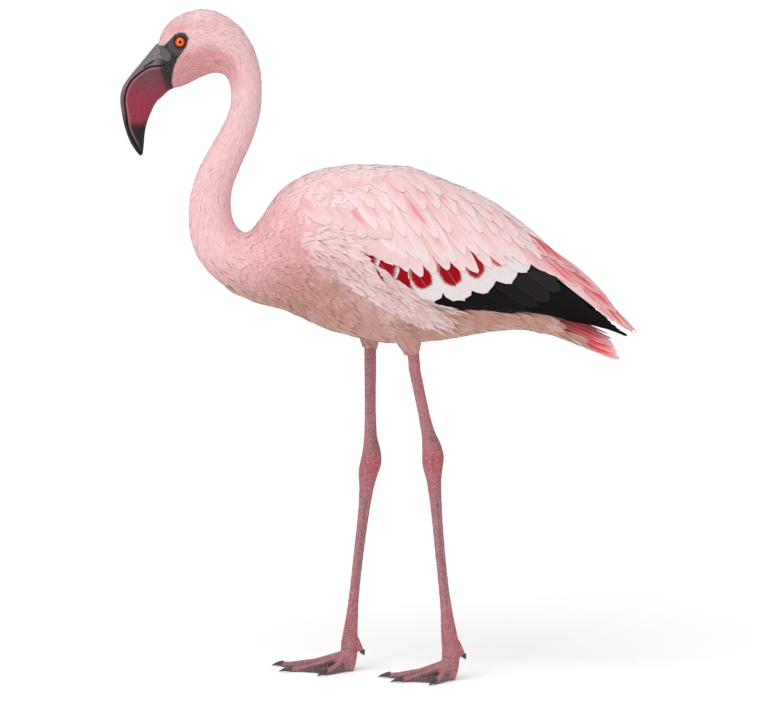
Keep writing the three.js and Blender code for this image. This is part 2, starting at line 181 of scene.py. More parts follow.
def unit(vectors):
    return vectors / np.maximum(np.linalg.norm(vectors, axis=-1, keepdims=True), 1e-12)


def toLine(points, line):
    # Distance from each point to a polyline, and how far along it the nearest place is.
    best = np.full(len(points), 1e9)
    along = np.zeros(len(points))
    total = 0.0
    for start, end in zip(line[:-1], line[1:]):
        step = end - start
        length = np.linalg.norm(step)
        part = np.clip((points - start) @ step / length ** 2, 0, 1)
        distance = np.linalg.norm(points - (start + part[:, None] * step), axis=1)
        nearer = distance < best
        best = np.where(nearer, distance, best)
        along = np.where(nearer, total + part * length, along)
        total += length
    return best, along


def inside(points, outline):
    # True where 2-D points are inside a closed outline.
    found = np.zeros(len(points), bool)
    last = outline[-1]
    for corner in outline:
        crosses = (corner[1] > points[:, 1]) != (last[1] > points[:, 1])
        with np.errstate(divide="ignore", invalid="ignore"):
            reach = (last[0] - corner[0]) * (points[:, 1] - corner[1]) / (last[1] - corner[1]) + corner[0]
        found ^= crosses & (points[:, 0] < reach)
        last = corner
    return found


def outlineMask(points, outline, soft):
    # 1 inside a closed outline, 0 outside, with a soft border.
    ring = np.vstack([outline, outline[:1]])
    distance = toLine(points, ring)[0]
    signed = np.where(inside(points, outline), distance, -distance)
    return smoothStep(-soft, soft, signed)


class Signal:
    # A node's socket, with the maths that the materials use.
    def __init__(self, paint, socket):
        self.paint = paint
        self.socket = socket

    def maths(self, operation, *others, swapped=False, clamp=False):
        terms = [self, *others]
        if swapped:
            terms.reverse()
        settings = {"operation": operation, "use_clamp": clamp}
        return self.paint.node("Math", settings, dict(enumerate(terms)))

    def __add__(self, other):
        return self.maths("ADD", other)

    def __sub__(self, other):
        return self.maths("SUBTRACT", other)

    def __rsub__(self, other):
        return self.maths("SUBTRACT", other, swapped=True)

    def __mul__(self, other):
        return self.maths("MULTIPLY", other)

    def __truediv__(self, other):
        return self.maths("DIVIDE", other)

    def __pow__(self, other):
        return self.maths("POWER", other)

    __radd__ = __add__
    __rmul__ = __mul__

    def step(self, low, high):
        # 0 below low, 1 above high, smooth between.
        settings = {"interpolation_type": "SMOOTHSTEP"}
        return self.paint.node("MapRange", settings, {"Value": self, "From Min": low, "From Max": high})


class Paint:
    # A material. node() adds any node: its settings first, then the values or links of its sockets.
    def __init__(self, title, fixed):
        self.material = bpy.data.materials.new(title)
        self.material.use_nodes = True
        self.tree = self.material.node_tree
        self.shader = self.tree.nodes["Principled BSDF"]
        for name, value in fixed.items():
            self.shader.inputs[name].default_value = value

    def node(self, kind, settings=None, inputs=None, output=0):
        made = self.tree.nodes.new("ShaderNode" + kind)
        for name, value in (settings or {}).items():
            if name == "stops":
                ramp = made.color_ramp
                ramp.elements.remove(ramp.elements[1])
                ramp.elements[0].position = value[0][0]
                ramp.elements[0].color = value[0][1]
                for place, colour in value[1:]:
                    ramp.elements.new(place).color = colour
            else:
                setattr(made, name, value)
        for name, value in (inputs or {}).items():
            self.link(made.inputs[name], value)
        return Signal(self, made.outputs[output])

    def link(self, socket, value):
        if isinstance(value, Signal):
            self.tree.links.new(value.socket, socket)
        else:
            socket.default_value = value

    def mix(self, factor, first, second, kind="MIX"):
        settings = {"data_type": "RGBA", "blend_type": kind}
        return self.node("Mix", settings, {0: factor, 6: first, 7: second}, output=2)

    def noise(self, place, scale, detail=3):
        inputs = {"Vector": place, "Scale": scale, "Detail": detail, "Roughness": 0.55}
        return self.node("TexNoise", None, inputs)

    def cells(self, place, scale, feature, output=0):
        return self.node("TexVoronoi", {"feature": feature}, {"Vector": place, "Scale": scale}, output)

    def place(self):
        # Where a point is, in metres.
        return self.node("TexCoord", output=3)

    def tint(self):
        # The colour that is written on the mesh's points.
        return self.node("Attribute", {"attribute_name": "tint"}, output=0)

    def number(self, name):
        # A number that is written on the mesh's points.
        return self.node("Attribute", {"attribute_name": name}, output=2)

    def apart(self, vector):
        # The three parts of a vector or colour.
        node = self.node("SeparateXYZ", None, {0: vector}).socket.node
        return [Signal(self, output) for output in node.outputs]

    def stretched(self, place, scale):
        return self.node("Mapping", {"vector_type": "TEXTURE"}, {"Vector": place, "Scale": scale})

    def finish(self, colour, roughness=None, height=None, bump=0.3, distance=0.001):
        self.link(self.shader.inputs["Base Color"], colour)
        if roughness is not None:
            self.link(self.shader.inputs["Roughness"], roughness)
        if height is not None:
            inputs = {"Height": height, "Strength": bump, "Distance": distance}
            self.link(self.shader.inputs["Normal"], self.node("Bump", None, inputs))
        return self.material


def linear(red, green, blue):
    # A colour as a paint chart gives it, 0 to 255, as the linear values that the shader works in.
    parts = [value / 255 for value in (red, green, blue)]
    return np.array([p / 12.92 if p <= 0.04045 else ((p + 0.055) / 1.055) ** 2.4 for p in parts])


def rgba(colour):
    return (*[float(value) for value in colour], 1.0)


studio = {
    "aim": (0, 0.004875, 0.4135),
    "distance": 4.5,
    "elevation": math.radians(4.5),
    "lens": 165.44,
    "sensor": 36,
    "ambient": 0.5,
    "backdrop": 1.1,
    "sunStrength": 1.45,
    "sunAngle": math.radians(50),
    "sunFrom": (0.62, -0.35, 1.0),
    "floorSize": 60,
    "floorColour": 0.93,
    "floorGlow": 0.2,
    "sparkPlace": (3.2, -1.5, 2.3),
    "sparkAim": (0, -0.25, 0.8),
    "sparkSize": 0.35,
    "sparkPower": 9,
}


def makeStudio():
    aim = Vector(studio["aim"])
    rise = studio["elevation"]
    back = Vector((math.cos(rise), 0, math.sin(rise)))
    lens = bpy.data.cameras.new("camera")
    lens.lens = studio["lens"]
    lens.sensor_width = studio["sensor"]
    lens.clip_start = 0.1
    lens.clip_end = 100
    camera = bpy.data.objects.new("camera", lens)
    camera.location = aim + back * studio["distance"]
    camera.rotation_euler = (-back).to_track_quat("-Z", "Y").to_euler()
    scene.collection.objects.link(camera)
    scene.camera = camera
    scene.view_settings.view_transform = "Standard"

    world = bpy.data.worlds.new("studio")
    world.use_nodes = True
    scene.world = world
    tree = world.node_tree
    shade = tree.nodes["Background"]
    path = tree.nodes.new("ShaderNodeLightPath")
    strength = tree.nodes.new("ShaderNodeMix")
    strength.inputs[2].default_value = studio["ambient"]
    strength.inputs[3].default_value = studio["backdrop"]
    tree.links.new(path.outputs["Is Camera Ray"], strength.inputs[0])
    tree.links.new(strength.outputs[0], shade.inputs["Strength"])
    shade.inputs["Color"].default_value = (1, 1, 1, 1)

    light = bpy.data.lights.new("softSun", "SUN")
    light.energy = studio["sunStrength"]
    light.angle = studio["sunAngle"]
    sun = bpy.data.objects.new("softSun", light)
    sun.rotation_euler = Vector(studio["sunFrom"]).to_track_quat("Z", "Y").to_euler()
    scene.collection.objects.link(sun)

    lamp = bpy.data.lights.new("spark", "AREA")
    lamp.size = studio["sparkSize"]
    lamp.energy = studio["sparkPower"]
    spark = bpy.data.objects.new("spark", lamp)
    spark.location = studio["sparkPlace"]
    spark.rotation_euler = (spark.location - Vector(studio["sparkAim"])).to_track_quat("Z", "Y").to_euler()
    scene.collection.objects.link(spark)

    bpy.ops.mesh.primitive_plane_add(size=studio["floorSize"], location=(0, 0, 0))
    floor = bpy.context.active_object
    floor.name = "studioFloor"
    paint = Paint("paleFloor", {"Roughness": 0.9, "Specular IOR Level": 0.0,
                                "Emission Color": (1, 1, 1, 1), "Emission Strength": studio["floorGlow"]})
    tone = studio["floorColour"]
    grain = paint.noise(paint.place(), 3.0)
    floor.data.materials.append(paint.finish(paint.mix(grain, rgba([tone] * 3), rgba([tone + 0.02] * 3))))


bpy.ops.object.select_all(action="DESELECT")
makeStudio()
print("studio is set")


# The middle of head, neck and body as [y, z] in millimetres, from the bill's root to the tail's tip.
middleLine = np.array([
    (-273.5, 781), (-252.5, 800), (-218.5, 811), (-187.5, 799), (-171.5, 769), (-168.5, 748),
    (-171.5, 719), (-184.5, 688), (-209.5, 640), (-216.5, 600), (-209.5, 559), (-187.5, 537),
    (-156.5, 534), (-121.5, 548), (-70.5, 549), (-0.5, 542), (87.5, 527), (178.5, 504),
    (254.5, 456), (304.5, 428),
]) * mm


def evenLine(line, gap):
    # The same line through Catmull-Rom curves, with points this far apart.
    padded = np.vstack([2 * line[0] - line[1], line, 2 * line[-1] - line[-2]])
    fine = []
    for a, b, c, d in zip(padded[:-3], padded[1:-2], padded[2:-1], padded[3:]):
        t = np.linspace(0, 1, 20, endpoint=False)[:, None]
        fine.append(0.5 * (2 * b + (c - a) * t + (2 * a - 5 * b + 4 * c - d) * t ** 2
                           + (3 * b - a - 3 * c + d) * t ** 3))
    fine = np.vstack([*fine, line[-1:]])
    reach = np.concatenate([[0], np.cumsum(np.linalg.norm(np.diff(fine, axis=0), axis=1))])
    places = np.linspace(0, reach[-1], max(2, round(reach[-1] / gap)))
    return np.stack([np.interp(places, reach, fine[:, axis]) for axis in range(line.shape[1])], axis=1)


spineLine = evenLine(middleLine, 3 * mm)
spineReach = np.concatenate([[0], np.cumsum(np.linalg.norm(np.diff(spineLine, axis=0), axis=1))])
spineWay = unit(np.gradient(spineLine, axis=0))


def alongBody(points):
    # For each point: how far along the middle line it is, the line's direction there, and the [y, z] gap.
    found = np.empty(len(points), int)
    batch = 20000  # points at a time, to spare memory
    for start in range(0, len(points), batch):
        part = points[start:start + batch, 1:]
        gaps = ((part[:, None, :] - spineLine[None]) ** 2).sum(axis=2)
        found[start:start + batch] = gaps.argmin(axis=1)
    return spineReach[found], spineWay[found], points[:, 1:] - spineLine[found]


# Where feathers end and bare skin begins on the face, as [y, z].
faceBorder = np.array([
    (-290, 830), (-284.5, 807.5), (-279, 806), (-272.5, 806), (-266.5, 812), (-260.5, 819), (-252.5, 822.5),
    (-245.5, 821.5), (-241, 815), (-244, 805), (-250, 796), (-255.5, 789), (-259.5, 780),
    (-262.5, 769), (-264.5, 751), (-264, 730),
]) * mm
bareFace = np.vstack([faceBorder, np.array([(-420, 700), (-420, 830)]) * mm])
eyes = {"y": -252 * mm, "z": 810 * mm, "x": 13.4 * mm, "radius": 9 * mm}
# Each leg's joints from the side, as [y, z] in millimetres.
legFrames = {
    "left": {"hip": (36.5, 430), "ankle": (67, 286), "foot": (90.5, 42)},
    "right": {"hip": (-13, 430), "ankle": (-12.5, 270), "foot": (-39.5, 38)},
}
hipWidth = 36 * mm  # from the bird's middle plane to each shin's top


def eyeGap(points):
    # How far from the eye's middle a point is, seen from the side.
    return np.hypot(points[:, 1] - eyes["y"], points[:, 2] - eyes["z"])


def hipGap(points, side):
    # How far from a shin's middle line a point is, seen from above.
    return np.hypot(points[:, 1] - legFrames[side]["hip"][0] * mm, points[:, 0] - sides[side] * hipWidth)


skinShape = {
    "overlap": 0.4 * mm,
    "bodyOverlap": 0.6 * mm,
    "shankRise": 30 * mm,
    "headVoxel": 1.3 * mm,
    "bodyVoxel": 4.0 * mm,
    "legVoxel": 1.55 * mm,
    "headEnd": 0.137,
    "wingCut": 0.165,
    "rumpCut": 0.236,
    "headDepth": 1.4 * mm,
    "neckDepth": 2.1 * mm,
    "bodyDepth": 6.5 * mm,
    "legDepth": 0.55 * mm,
}


def bareAt(points):
    # 1 on the bare face, 0 where feathers grow.
    return outlineMask(points[:, 1:], bareFace, 1.2 * mm)


def coatDepth(points):
    # How far under the feathers' tips the skin lies.
    reach = alongBody(points)[0]
    depth = np.interp(reach, [0, 0.06, 0.14, 0.36, 0.43, 0.50],
                      [skinShape["headDepth"] * 0.6, skinShape["headDepth"], skinShape["neckDepth"],
                       skinShape["neckDepth"], 4.5 * mm, skinShape["bodyDepth"]])
    return depth * (1 - bareAt(points)) + 0.15 * mm


plumage = {
    "cream": linear(252, 234, 236),
    "blossom": linear(248, 206, 208),
    "rose": linear(228, 156, 156),
    "coral": linear(230, 108, 114),
    # A buff darkened with painted shade, for the underside.
    "shadedSand": linear(190, 144, 127),
}


def blend(base, other, part):
    # Colours part of the way from the base to the other.
    return base + (other - base) * np.asarray(part)[..., None]


def plumageTint(points):
    # The markings that skin and coat share, as a linear colour for each point.
    reach, way, gap = alongBody(points)
    size = np.interp(reach, [0, 0.1, 0.36, 0.46, 0.9], [0.022, 0.018, 0.024, 0.08, 0.05])
    back = (gap[:, 1] * way[:, 0] - gap[:, 0] * way[:, 1]) / size
    y, z = points[:, 1], points[:, 2]
    tint = np.tile(plumage["blossom"], (len(points), 1))
    throat = smoothStep(0.0, -0.7, back) * (1 - smoothStep(0.10, 0.16, reach))
    tint = blend(tint, plumage["rose"] * 0.93, 0.85 * throat)
    cheek = bell(np.hypot(y + 0.243, z - 0.778), 0, 0.022)
    tint = blend(tint, plumage["rose"], 0.4 * cheek)
    brow = toLine(points[:, 1:], np.array([(-262, 824), (-248, 829), (-230, 834), (-214, 832)]) * mm)[0]
    tint = blend(tint, plumage["coral"], 0.42 * bell(brow, 0, 6 * mm))
    lowNeck = bell(reach, 0.375, 0.05) * smoothStep(0.1, 0.8, back)
    tint = blend(tint, plumage["rose"], 0.3 * lowNeck)
    mantle = smoothStep(0.43, 0.52, reach) * smoothStep(0.1, 0.8, back)
    tint = blend(tint, plumage["cream"], 0.75 * mantle)
    crown = bell(np.hypot(y + 0.232, z - 0.853), 0, 0.03)
    tint = blend(tint, plumage["cream"], 0.6 * crown)
    breast = bell(y, -0.11, 0.09) * smoothStep(0.62, 0.56, z) * smoothStep(0.36, 0.46, reach)
    tint = blend(tint, plumage["rose"], 0.56 * breast)
    # Painted shade: the underside, low breast and belly turn a dark buff, partly the coat's own buff and
    # partly shade painted under the body.
    under = smoothStep(0.38, 0.5, reach) * smoothStep(0.22, -0.52, back)
    low = 0.8 * smoothStep(0.535, 0.458, z + 0.25 * (y + 0.1)) * smoothStep(0.09, -0.02, y)
    tint = blend(tint, plumage["shadedSand"], 0.95 * np.clip(under + low, 0, 1))
    plumes = toLine(points[:, 1:], np.array([(-84, 562), (-52, 532), (-8, 488)]) * mm)[0]
    pale = bell(plumes, 0, 25 * mm) * smoothStep(22 * mm, 36 * mm, np.abs(points[:, 0]))
    return blend(tint, plumage["cream"], 0.45 * pale * (z > 0.44))


def writeTint(thing, colours):
    made = thing.data.color_attributes.new(name="tint", type="FLOAT_COLOR", domain="POINT")
    full = np.ones((len(colours), 4), np.float32)
    full[:, :3] = np.clip(colours, 0, 1)
    made.data.foreach_set("color", full.ravel())


def writeValue(thing, values, name):
    made = thing.data.attributes.new(name, "FLOAT", "POINT")
    made.data.foreach_set("value", np.asarray(values, np.float32))


def makeHeadForm():
    form = grown(copyOf(["head", "neck_upper"], "headForm"), skinShape["overlap"])
    remeshed(form, skinShape["headVoxel"], 22)

    def depth(points):
        end = skinShape["headEnd"]
        under = smoothStep(end - 0.02, end - 0.004, alongBody(points)[0]) * 0.9 * mm
        return coatDepth(points) + skinShape["overlap"] + under

    sink(form, depth)
    last = np.searchsorted(spineReach, skinShape["headEnd"])
    place, way = spineLine[last], spineWay[last]
    return cutAway(form, (0, *place), (0, *way))


def makeBodyForm():
    form = copyOf(["neck_upper", "neck_middle", "neck_lower", "trunk"], "bodyForm")
    for side in sides:
        wing = cutAway(copyOf([f"wing_{side}"], "wingPart"), (0, skinShape["wingCut"], 0), (0, 1, 0))
        thigh = copyOf([f"thigh_{side}"], "thighPart")
        pick(form, wing, thigh)
        bpy.ops.object.join()
    cutAway(form, (0, skinShape["rumpCut"], 0), (0, 1, 0))
    grown(form, skinShape["bodyOverlap"])
    remeshed(form, skinShape["bodyVoxel"], 26)
    sink(form, lambda points: coatDepth(points) + skinShape["bodyOverlap"], steps=6)
    return remeshed(form, skinShape["bodyVoxel"], 8)


def makeLegForm(side):
    # The bare leg and foot. The shank's top is drawn up into the body.
    form = copyOf([f"{part}_{side}" for part in ("ankle", "tarsus", "foot", "hallux")], "legForm")
    shank = copyOf([f"shank_{side}"], "shankPart")
    top = pointsOf(shank)[:, 2].max()
    selectWhere(shank, lambda points: points[:, 2] > top - 3 * mm)
    bpy.ops.transform.translate(value=(0, 0, skinShape["shankRise"]))
    bpy.ops.object.mode_set(mode="OBJECT")
    pick(form, shank)
    bpy.ops.object.join()
    grown(form, skinShape["overlap"])
    remeshed(form, skinShape["legVoxel"], 9)
    return sink(form, lambda points: np.full(len(points), skinShape["legDepth"]), steps=1)


def carve(thing, line, width, depth, ends):
    # Cuts a rounded groove (or raises a ridge, where depth is below 0) along a line given as [y, z].
    # It runs out over the length ends at both ends of the line.
    points, normals = pointsOf(thing), normalsOf(thing)
    distance, along = toLine(points[:, 1:], line)
    length = np.linalg.norm(np.diff(line, axis=0), axis=1).sum()
    taper = smoothStep(0, ends, along) * smoothStep(0, ends, length - along) if ends else 1
    facing = smoothStep(0.1, 0.35, np.abs(normals[:, 0]))
    amount = depth * bell(distance, 0, width) * taper * facing
    movePoints(thing, points - normals * amount[:, None])


faceShape = {
    "fineRadius": 15 * mm,
    "lidRise": 0.95 * mm,
    "lidRadius": 8.1 * mm,
    "lidWidth": 1.1 * mm,
    "lidFold": 0.4 * mm,
    "underBall": 0.9 * mm,
    "foldWidth": 0.7 * mm,
    "foldDepth": 0.45 * mm,
    "folds": [
        [(-258, 799), (-262, 792), (-264, 784), (-264.5, 776)],
        [(-261, 803), (-266, 797), (-268.5, 789), (-269, 780)],
        [(-266, 806), (-271, 801), (-273.5, 794)],
        [(-243, 802), (-249, 793), (-255, 786), (-259, 776)],
    ],
}


def sculptFace(thing):
    # Lids round each eye, the dip under the eyeball, and the folds of the bare face.
    def fine(points):
        nearEye = (eyeGap(points) < faceShape["fineRadius"]) & (np.abs(points[:, 0]) > 7 * mm)
        return nearEye | (bareAt(points) > 0.3)

    selectWhere(thing, fine, "polygons")
    bpy.ops.mesh.subdivide(number_cuts=1)
    bpy.ops.mesh.vertices_smooth(factor=0.5, repeat=4)
    bpy.ops.object.mode_set(mode="OBJECT")
    points, normals = pointsOf(thing), normalsOf(thing)
    gap = eyeGap(points)
    sideways = smoothStep(6 * mm, 10 * mm, np.abs(points[:, 0])) * (gap < 30 * mm)
    rise = faceShape["lidRise"] * bell(gap, faceShape["lidRadius"], faceShape["lidWidth"])
    rise -= faceShape["lidFold"] * bell(gap, 10.3 * mm, 0.8 * mm)
    rise += faceShape["lidFold"] * 0.7 * bell(gap, 11.9 * mm, 0.9 * mm)
    points = points + normals * (rise * sideways)[:, None]
    ball = np.sqrt(np.maximum(eyes["radius"] ** 2 - gap ** 2, 0))
    under = eyes["x"] + ball - faceShape["underBall"]
    part = (1 - smoothStep(6.7 * mm, 7.7 * mm, gap)) * (sideways > 0.5)
    width = np.abs(points[:, 0]) * (1 - part) + under * part
    points[:, 0] = np.sign(points[:, 0]) * width
    movePoints(thing, points)
    for line in faceShape["folds"]:
        carve(thing, np.array(line) * mm, faceShape["foldWidth"], faceShape["foldDepth"], ends=3 * mm)


forms = [makeBodyForm(), makeHeadForm(), makeLegForm("left"), makeLegForm("right")]
print("forms:", [len(form.data.polygons) for form in forms])
skin = united(*forms)
skin.name = "skin"
sculptFace(skin)
print("skin:", len(skin.data.polygons), "faces")

billShape = {
    "voxel": 0.66 * mm,
    "overlap": 0.35 * mm,
    "seamStart": (-282.5, 809),
    "seamEnd": (-264.5, 751),
    "tuckIn": 3.2 * mm,
    "mouth": [(-266, 784), (-273, 781), (-281, 780), (-288, 779.5), (-294, 777.5), (-300, 774),
              (-307, 768.5), (-314, 762), (-318.5, 755), (-321.5, 748), (-323, 740), (-323, 730),
              (-321.5, 721), (-318.5, 700), (-311.5, 684), (-303.5, 668.5)],
    "nostril": [(-286, 786.5), (-291, 783.5), (-295, 780.8), (-298.5, 778)],
    "nostrilTail": [(-297, 779), (-302, 775.5), (-306, 772.5)],
    "lobe": [(-287, 786), (-282, 788), (-277, 788.5), (-271, 787), (-267.5, 789), (-266.5, 796),
             (-271, 802)],
}
mouthLine = evenLine(np.array(billShape["mouth"]) * mm, 1.5 * mm)
nostrilLine = np.array(billShape["nostril"]) * mm
nostrilTail = np.array(billShape["nostrilTail"]) * mm
lobeLine = evenLine(np.array(billShape["lobe"]) * mm, 1.5 * mm)


def makeBill(part):
    # One half of the bill, its root tucked in under the face's feathers.
    bill = copyOf([f"bill_{part}"], f"bill_{part}_horn")
    grown(bill, billShape["overlap"])
    remeshed(bill, billShape["voxel"], 16)
    points = pointsOf(bill)
    start, end = np.array(billShape["seamStart"]) * mm, np.array(billShape["seamEnd"]) * mm
    way = unit(end - start)
    outward = np.array([-way[1], way[0]])
    if outward[0] > 0:
        outward = -outward
    gap = (points[:, 1:] - start) @ outward
    reach = 1 - smoothStep(0, 2.2 * mm, gap)
    points[:, 1:] -= outward * (reach * billShape["tuckIn"])[:, None]
    points[:, 0] *= 1 - 0.05 * reach
    movePoints(bill, points)
    if part == "upper":
        carve(bill, nostrilLine, 0.95 * mm, 2.6 * mm, ends=1.5 * mm)
        carve(bill, nostrilTail, 1.0 * mm, 0.7 * mm, ends=2 * mm)
        carve(bill, lobeLine, 0.8 * mm, 0.55 * mm, ends=2 * mm)
        carve(bill, mouthLine + np.array([[0.0, 0.9 * mm]]), 0.9 * mm, 0.35 * mm, ends=0)
    else:
        carve(bill, mouthLine, 1.3 * mm, 1.0 * mm, ends=0)
        carve(bill, mouthLine + np.array([[1.6 * mm, -3.0 * mm]]), 1.2 * mm, -0.35 * mm, ends=6 * mm)
    bpy.ops.object.shade_smooth()
    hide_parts(f"bill_{part}")
    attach(bill, "root")
    return bill


bills = {part: makeBill(part) for part in ("upper", "lower")}
print("bill is shaped")

# Pupil, pale ring, iris and dark rim: how far out of the middle, in parts of eyeSpan, and the colour there.
eyeRings = [
    (0.0, (6, 5, 5)), (0.262, (8, 6, 5)), (0.29, (120, 52, 20)), (0.32, (255, 190, 110)),
    (0.375, (255, 172, 84)), (0.46, (250, 96, 30)), (0.70, (232, 66, 22)), (0.80, (190, 38, 16)),
    (0.87, (80, 16, 12)), (0.92, (20, 12, 12)),
]
eyeSpan = 8  # millimetres


def eyePaint():
    paint = Paint("eyeball", {"Roughness": 0.12, "Coat Weight": 0.25, "Coat Roughness": 0.03,
                              "Specular IOR Level": 0.2})
    place = paint.place()
    _, across, high = paint.apart(place)
    y = (across - eyes["y"]) * 1000
    z = (high - eyes["z"]) * 1000
    radius = (y * y + z * z) ** 0.5
    fibres = paint.noise(place, 900, detail=2)
    wide = radius + (fibres - 0.5) * 0.5
    stops = [(reach, rgba(linear(*colour))) for reach, colour in eyeRings]
    return paint.finish(paint.node("ValToRGB", {"stops": stops}, {0: wide / eyeSpan}))


def makeEye(side, paint):
    sign = sides[side]
    bpy.ops.object.select_all(action="DESELECT")
    bpy.ops.mesh.primitive_uv_sphere_add(radius=eyes["radius"], segments=64, ring_count=32,
                                         location=(sign * eyes["x"], eyes["y"], eyes["z"]))
    ball = bpy.context.active_object
    ball.name = f"eyeball_{side}"
    ball.rotation_euler = (0, math.radians(90), 0)
    bpy.ops.object.transform_apply(location=True, rotation=True, scale=True)
    points = pointsOf(ball)
    bulge = 0.5 * mm * bell(eyeGap(points), 0, 3.6 * mm) * (points[:, 0] * sign > eyes["x"])
    points[:, 0] += sign * bulge
    movePoints(ball, points)
    bpy.ops.object.shade_smooth()
    ball.data.materials.append(paint)
    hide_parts(f"eye_{side}")
    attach(ball, "root")


sharedEye = eyePaint()
for side in sides:
    makeEye(side, sharedEye)
print("eyes are set")


def clawPaint():
    paint = Paint("clawHorn", {"Coat Weight": 0.25, "Coat Roughness": 0.3})
    grain = paint.noise(paint.stretched(paint.place(), (0.4, 1.6, 0.4)), 420)
    colour = paint.mix(grain, rgba(linear(30, 28, 29)), rgba(linear(82, 74, 76)))
    return paint.finish(colour, 0.42 + grain * 0.25, grain, 0.35, 0.0004)


clawReach = 1.3  # each nail is this many times as long, from its tip into the toe


def makeClaws():
    paint = clawPaint()
    for side in sides:
        for toe in ("hind", "far", "middle", "near"):
            horn = copyOf([f"claw_{side}_{toe}"], f"nail_{side}_{toe}")
            remeshed(horn, 0.45 * mm, 6)
            points = pointsOf(horn)
            tip = points[points[:, 2].argmin() if toe == "hind" else points[:, 1].argmin()]
            movePoints(horn, tip + (points - tip) * clawReach)
            bpy.ops.object.shade_smooth()
            horn.data.materials.append(paint)
            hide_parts(f"claw_{side}_{toe}")
            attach(horn, "root")


makeClaws()
print("claws are shaped")

billLook = {
    "slate": linear(118, 111, 118),
    "mauve": linear(134, 106, 116),
    "plum": linear(112, 74, 86),
    "maroon": linear(106, 62, 72),
    "crimson": linear(148, 42, 62),
    "umber": linear(66, 50, 54),
    "black": linear(4, 4, 5),
    # Pale pink of a painted highlight on the lower bill's ridge.
    "highlightRim": linear(176, 116, 130),
}
faceLook = {
    "dark": linear(36, 20, 25),
    "slate": linear(98, 86, 94),
    "lid": linear(30, 26, 28),
    "edge": linear(26, 20, 22),
}


# The pale horn of the upper bill's root, which runs back over the seam as a rounded lobe.
hornLobe = np.array([
    (-300, 815), (-283, 809), (-275, 805.5), (-269, 801), (-265, 795.5), (-264.2, 790), (-266, 786.5),
    (-271, 786.5), (-277, 788), (-282, 787.5), (-287, 785.5), (-288, 780), (-300, 760), (-330, 760),
    (-330, 815),
]) * mm


def faceTint(points):
    gap = eyeGap(points)
    border = toLine(points[:, 1:], faceBorder)[0]
    tint = np.tile(faceLook["dark"], (len(points), 1))
    ring = smoothStep(8.4 * mm, 9.6 * mm, gap) * (1 - smoothStep(14 * mm, 19 * mm, gap))
    tint = blend(tint, faceLook["slate"], 0.75 * ring)
    tint = blend(tint, billLook["slate"], 0.85 * outlineMask(points[:, 1:], hornLobe, 1.4 * mm))
    tint = blend(tint, faceLook["lid"], 1 - smoothStep(8.0 * mm, 9.0 * mm, gap))
    return blend(tint, faceLook["edge"], 0.75 * (1 - smoothStep(0.5 * mm, 2.2 * mm, border)))


legLook = {
    "rose": linear(203, 131, 136),
    "mauve": linear(156, 122, 130),
    "red": linear(206, 74, 90),
    "grey": linear(128, 104, 112),
    "web": linear(84, 72, 78),
    "webEdge": linear(52, 46, 48),
}


def clawPlace(side, toe):
    # The middle of a toe's claw.
    low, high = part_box(f"claw_{side}_{toe}")
    return np.array((low + high) / 2)


def legTint(points):
    # Colours of the bare legs, how far along the leg or toe a point is, and how ringed its scales are.
    tint = np.tile(legLook["rose"], (len(points), 1))
    place = np.zeros(len(points))
    ringed = np.zeros(len(points))
    z = points[:, 2]
    speckle = 0.5 + 0.5 * np.sin(z * 260 + 3 * np.sin(points[:, 1] * 310))
    for side, leg in legFrames.items():
        own = points[:, 0] * sides[side] > 0
        hip, ankle, foot = (np.array(leg[part]) * mm for part in ("hip", "ankle", "foot"))
        middle = np.interp(z, [foot[1], ankle[1], hip[1]], [foot[0], ankle[0], hip[0]])
        rear = np.clip((points[:, 1] - middle) / (6 * mm), -1, 1)
        part = blend(tint, legLook["mauve"], 0.55 * speckle * smoothStep(0.7, -0.3, rear))
        part = blend(part, legLook["red"], 0.35 * smoothStep(0.35, 0.9, rear))
        above = (z - ankle[1]) / mm
        part = blend(part, legLook["red"], 0.75 * bell(above, -3, 13) + 0.35 * bell(above, -22, 14))
        part = blend(part, legLook["grey"], 0.6 * bell(above, 26, 12) * smoothStep(-0.4, 0.6, rear))
        part = blend(part, legLook["red"], 0.3 * bell(z, 75 * mm, 34 * mm))
        stripe = bell(rear, -0.1, 0.38) * smoothStep(-30, -55, above) * smoothStep(80 * mm, 130 * mm, z)
        part = blend(part, legLook["grey"], 0.6 * stripe)
        # A painted highlight: a paler band down the front of the leg.
        part = blend(part, legLook["rose"] * 1.15,
                     0.5 * bell(rear, -0.75, 0.3) * smoothStep(60 * mm, 90 * mm, z))
        root = np.array([34 * mm * sides[side], foot[0] - 4 * mm, 22 * mm])
        nearest = np.full(len(points), 1e9)
        along = np.zeros(len(points))
        for toe in ("far", "middle", "near"):
            distance, reach = toLine(points, np.array([root, clawPlace(side, toe)]))
            nearer = distance < nearest
            nearest = np.where(nearer, distance, nearest)
            along = np.where(nearer, reach, along)
        footPart = 1 - smoothStep(26 * mm, 36 * mm, z)
        toePart = footPart * (1 - smoothStep(5.2 * mm, 7.6 * mm, nearest))
        part = blend(part, legLook["web"],
                     0.95 * footPart * (1 - toePart) * smoothStep(12 * mm, 20 * mm, along))
        part = blend(part, legLook["grey"], 0.45 * toePart * smoothStep(0.25, 0.95, along / 0.1))
        part = blend(part, legLook["webEdge"], 0.8 * footPart * (1 - smoothStep(1.0 * mm, 3.5 * mm, z)))
        tint = np.where(own[:, None], part, tint)
        place = np.where(own, np.where(footPart > 0.5, along, z), place)
        front = smoothStep(0.2, -0.6, rear) * bell(z, 52 * mm, 30 * mm)
        wrinkled = bell(above, 20, 10) * smoothStep(0.6, -0.6, rear)
        ringed = np.where(own, np.clip(np.maximum(front, wrinkled) + toePart, 0, 1), ringed)
    return tint, place, ringed


def downPaint():
    paint = Paint("downySkin", {"Roughness": 0.9, "Specular IOR Level": 0.15})
    fluff = paint.noise(paint.place(), 260, detail=4)
    colour = paint.mix(fluff * 0.5, paint.tint(), rgba(plumage["rose"]), "MULTIPLY")
    return paint.finish(colour, 0.9 - fluff * 0.1, fluff, 0.6, 0.001)


